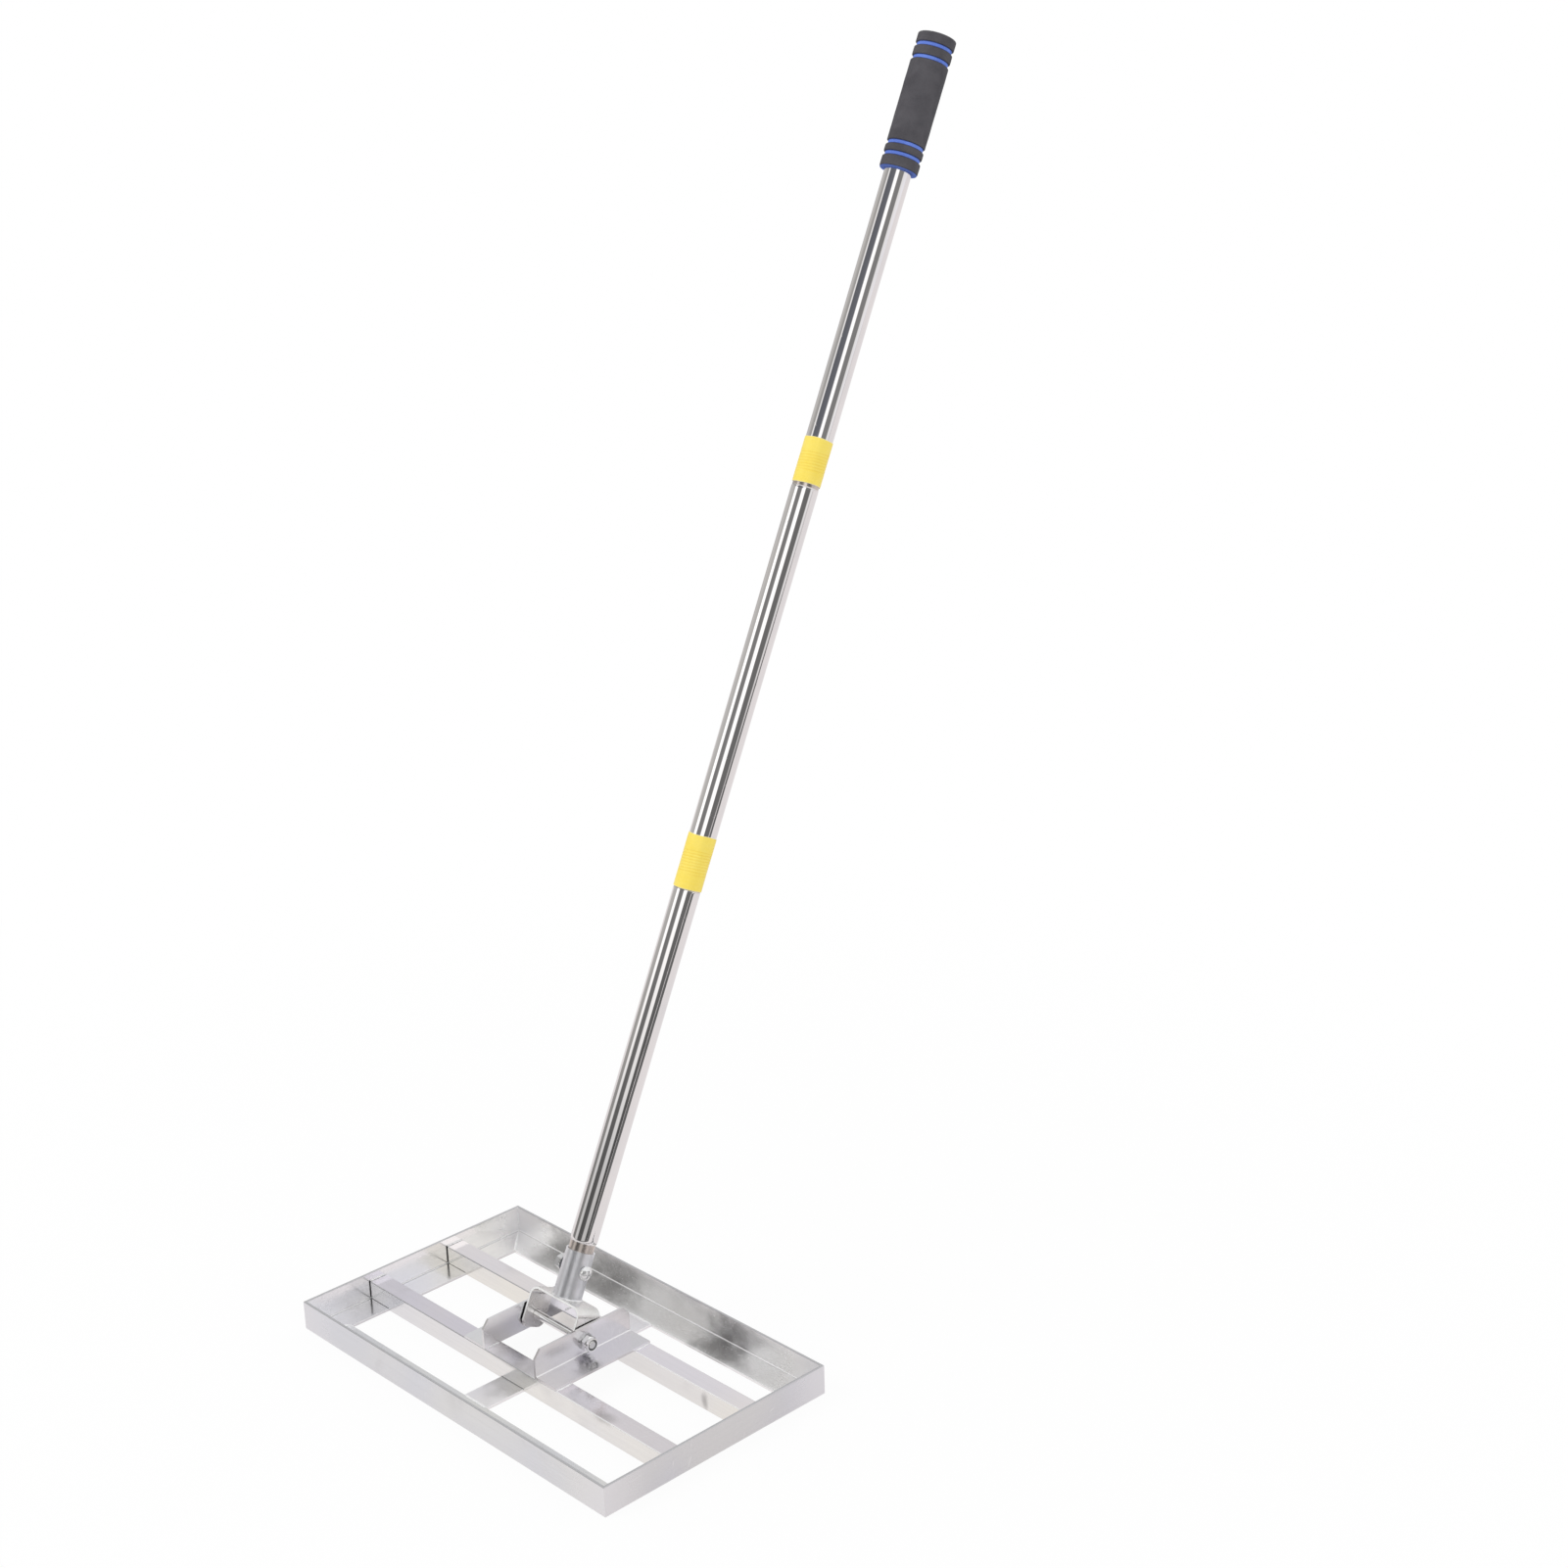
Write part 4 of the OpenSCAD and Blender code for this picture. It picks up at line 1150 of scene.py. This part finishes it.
def film_sleeve(low, high, seed):
    """A thin wall between two heights. Outside, rings of a tenth of a millimetre lie over the
    middle; each end wavers by a sine of the angle, which dies out towards the middle."""
    flat = np.linspace(low + 0.25, high - 0.25, 170)
    edge_r = FILM_OUT - np.array([0.2, 0.06])
    z, r = chain(
        ([low, low + 0.06], edge_r), (flat, FILM_OUT), ([high - 0.06, high], edge_r[::-1]),
        ([high, low], FILM_IN),
    )
    first, last = (low + share * (high - low) for share in RING_ZONE)
    depth = RING_DEPTH * window(z, first, last, 2.5) * (r > FILM_IN)
    rings = turned(z, r, depth, THREAD_LEAD, 2)
    drop = np.clip(1 - (z - low) / WAVER_FADE, 0, 1)[:, None] * np.sin(2 * AROUND + seed)
    rise = np.clip(1 - (high - z) / WAVER_FADE, 0, 1)[:, None] * np.sin(3 * AROUND + 2 * seed)
    rings[..., 2] += WAVER * (drop + rise)
    # Painted shade, deepest where the film sinks into the thread.
    ring = (depth > 0.01)[:, None] * thread_groove(z[:, None], AROUND[None, :], THREAD_LEAD, 2) ** 2
    edge = np.broadcast_to((np.minimum(z - low, high - z) < 0.3)[:, None], ring.shape).astype(float)
    return skin(on_pole(rings), loop=True), ring, edge


FILMS = {"lower": (42.4, 50.2), "upper": (37.3, 41.9)}
for count, (name, (below, length)) in enumerate(FILMS.items(), 1):
    low = SHOULDER + count * SECTION - below
    wall, ring, edge = film_sleeve(low, low + length, count)
    sleeve = piece(name + "_film", [wall], film, "handle", 50.0, ring=ring, edge=edge)
    stand_in(sleeve, name + "_sleeve")

# %% [markdown]
# ## Foam grip
# The grip is a tube of blue foam inside a sleeve of charcoal foam. The charcoal is cut away in
# four narrow grooves, where the blue shows, and the blue peeps out below the last band. Foam has
# no sharp edges: each band bulges a little and rolls over at its rims. So its outline is a
# flattened oval turned about the axis, with a slow unevenness, and the fine pores are in the
# material.


# %% Foam finish
def foam(name, deep, pale):
    """Closed-cell foam: two close tones, pores as small cells, a dry rough skin, and painted
    shade where the stored edge value is set.
    """
    material, tree, place = finish(name)
    tone, grit = clouds_in(tree, place, 70.0), clouds_in(tree, place, 900.0, 0.35, 0.7)
    pores = node(tree, "TexVoronoi", {"Vector": place, "Scale": 1500.0}).outputs["Distance"]
    skin_share = stretch(tree, pores, 0.05, 0.4)
    colour = over(
        tree, mix(tree, tone, (*deep, 1), (*pale, 1)), (grit, 0.25, pale),
        (sums(tree, "SUBTRACT", 1.0, skin_share), 0.22, (0.01, 0.01, 0.012)),
        # Painted shade along the groove rims and on the lip.
        (stored(tree, "edge"), 0.9, (0.012, 0.016, 0.07)),
    )
    rough, relief = stretch(tree, tone, 0, 1, 0.82, 0.95), sums(tree, "ADD", skin_share, grit)
    return coat(material, colour, rough, 0.0, relief, 0.45, gloss=0.25)


dark_foam = foam("charcoal_foam", (0.072, 0.069, 0.078), (0.1, 0.096, 0.106))
blue_foam = foam("blue_foam", (0.125, 0.215, 0.7), (0.17, 0.28, 0.82))
print("foam finishes: 2")

# %% Grip pieces
GRIP_TOP, GRIP_LOW, CORE_R, BAND_R = 1208.5, 1084.5, 16.2, 17.8
CAP_TOP, CAP_RISE, GROOVE, LIP = 3.2, 1.3, 4.0, 0.4
TOP_BAND, UPPER_BAND, LOWER_BAND, END_BAND = 8.0, 8.1, 6.4, 10.4
SWELL, RIM_ROLL, LIP_IN, LIP_SHADES, SHADE_REACH = 0.07, 0.8, 0.9, (0.95, 0.4), 0.95
QUARTER = np.linspace(0, np.pi / 2, 8)
IN_R, BORE_R = CORE_R - 0.4, TUBE_R + 0.05


def foam_turned(z, r, inner, seed):
    """An outline turned about the axis, with a slow swelling of three sines outside a radius."""
    a, rings = AROUND[None, :], turned(z, r, np.zeros(len(z)), 1.0)
    z = z[:, None]
    swell = np.sin(2 * a + 0.11 * z + seed) + np.sin(3 * a - 0.23 * z + 2 * seed)
    swell = (swell + np.sin(5 * a + 0.4 * z)) / 3
    push = 1 + SWELL * swell * (r > inner)[:, None] / r[:, None]
    rings[..., :2] *= push[..., None]
    return rings


def foam_band(low, high, seed):
    """A ring of foam: a bulged flat outside with quarter-round rims, and a plain bore."""
    rise = np.linspace(low + RIM_ROLL, high - RIM_ROLL, max(6, int((high - low) / 1.5)))[1:-1]
    climb, out = RIM_ROLL * (1 - np.cos(QUARTER)), BAND_R - RIM_ROLL + RIM_ROLL * np.sin(QUARTER)
    z, r = chain((low + climb, out), (rise, BAND_R), (high - climb[::-1], out[::-1]))
    r = r - 0.1 * (2 * (z - low) / (high - low) - 1) ** 2
    return foam_turned(*chain((low, IN_R), (z, r), (high, IN_R)), IN_R + 0.3, seed)


def foam_cap(low, high, seed):
    """The closed top band. Its outline runs out under the roof, down the bore, up the outside and
    in over a softly domed top, and the two ends on the axis are closed."""
    roof, rim, dome = GRIP_TOP - CAP_TOP, 1.1, np.linspace(1, 0.02, 10)[1:]
    flat, climb, out = BAND_R - RIM_ROLL, 1 - np.cos(QUARTER), np.sin(QUARTER)
    z, r = chain(
        ([roof, roof, low], [0.3, IN_R, IN_R]), (low + RIM_ROLL * climb, flat + RIM_ROLL * out),
        (np.linspace(low + RIM_ROLL, high - rim, 5)[1:-1], BAND_R),
        (high - 0.4 - rim + rim * out, BAND_R - rim * climb),
        (high - 0.4 * dome ** 2, (BAND_R - rim) * dome),
    )
    return foam_turned(z, r, CORE_R, seed)


def foam_core(grooves):
    """The blue tube, with a rolled lip below the last band. Its edge value is a painted shade: 1
    where a groove meets a band and 0 from a millimetre away, and it paints shade on the lip."""
    rims = np.ravel(grooves)
    close = (rims[:, None] + np.linspace(-1, 1, 9)[None, :]).ravel()
    rise = np.unique(np.concatenate([np.linspace(GRIP_LOW + 3, GRIP_TOP - CAP_TOP, 50), close]))
    rise = rise[(rise > GRIP_LOW + 2) & (rise <= GRIP_TOP - CAP_TOP)]
    curl = np.linspace(0, np.pi, 12)
    lip = (GRIP_LOW + LIP * (1 - np.cos(curl)), BAND_R - LIP_IN + LIP * np.sin(curl))
    z, r = chain((GRIP_LOW, BORE_R), lip, (rise, CORE_R), (rise[-1], BORE_R))
    away = np.abs(z[:, None] - rims[None, :]).min(1)
    below = np.where(z > GRIP_LOW + LIP, *LIP_SHADES)
    edge = np.where(z > GRIP_LOW + 2, np.clip(1.33 * (1 - away / SHADE_REACH), 0, 1), below)
    return foam_turned(z, r, BORE_R + 1, 4.0), np.repeat(edge, len(AROUND))


cap_low, upper_low = GRIP_TOP - TOP_BAND, GRIP_TOP - TOP_BAND - GROOVE - UPPER_BAND
lower_low = GRIP_LOW + END_BAND + GROOVE
cover_low, cover_high = lower_low + LOWER_BAND + GROOVE, upper_low - GROOVE
groove_tops = np.array([lower_low, cover_low, upper_low, cap_low])
core, core_shade = foam_core(np.stack([groove_tops - GROOVE, groove_tops], -1))
GRIP = {
    "grip_upper_ring": foam_band(upper_low, upper_low + UPPER_BAND, 2.0),
    "grip_cover": foam_band(cover_low, cover_high, 3.0),
    "grip_lower_ring": foam_band(lower_low, lower_low + LOWER_BAND, 5.0),
    "grip_end": foam_band(GRIP_LOW + 2 * LIP, GRIP_LOW + END_BAND, 6.0),
}
bands = {name: piece(name + "_foam", [skin(on_pole(rings), loop=True)], dark_foam, "handle", 60.0)
         for name, rings in GRIP.items()}
cap = foam_cap(cap_low, GRIP_TOP + CAP_RISE, 1.0)
bands["grip_cap"] = piece("grip_cap_foam", [skin(on_pole(cap))], dark_foam, "handle", 60.0)
bands["grip_core"] = piece(
    "grip_core_foam", [skin(on_pole(core), loop=True)], blue_foam, "handle", 60.0, edge=core_shade
)
for name, band in bands.items():
    stand_in(band, name)
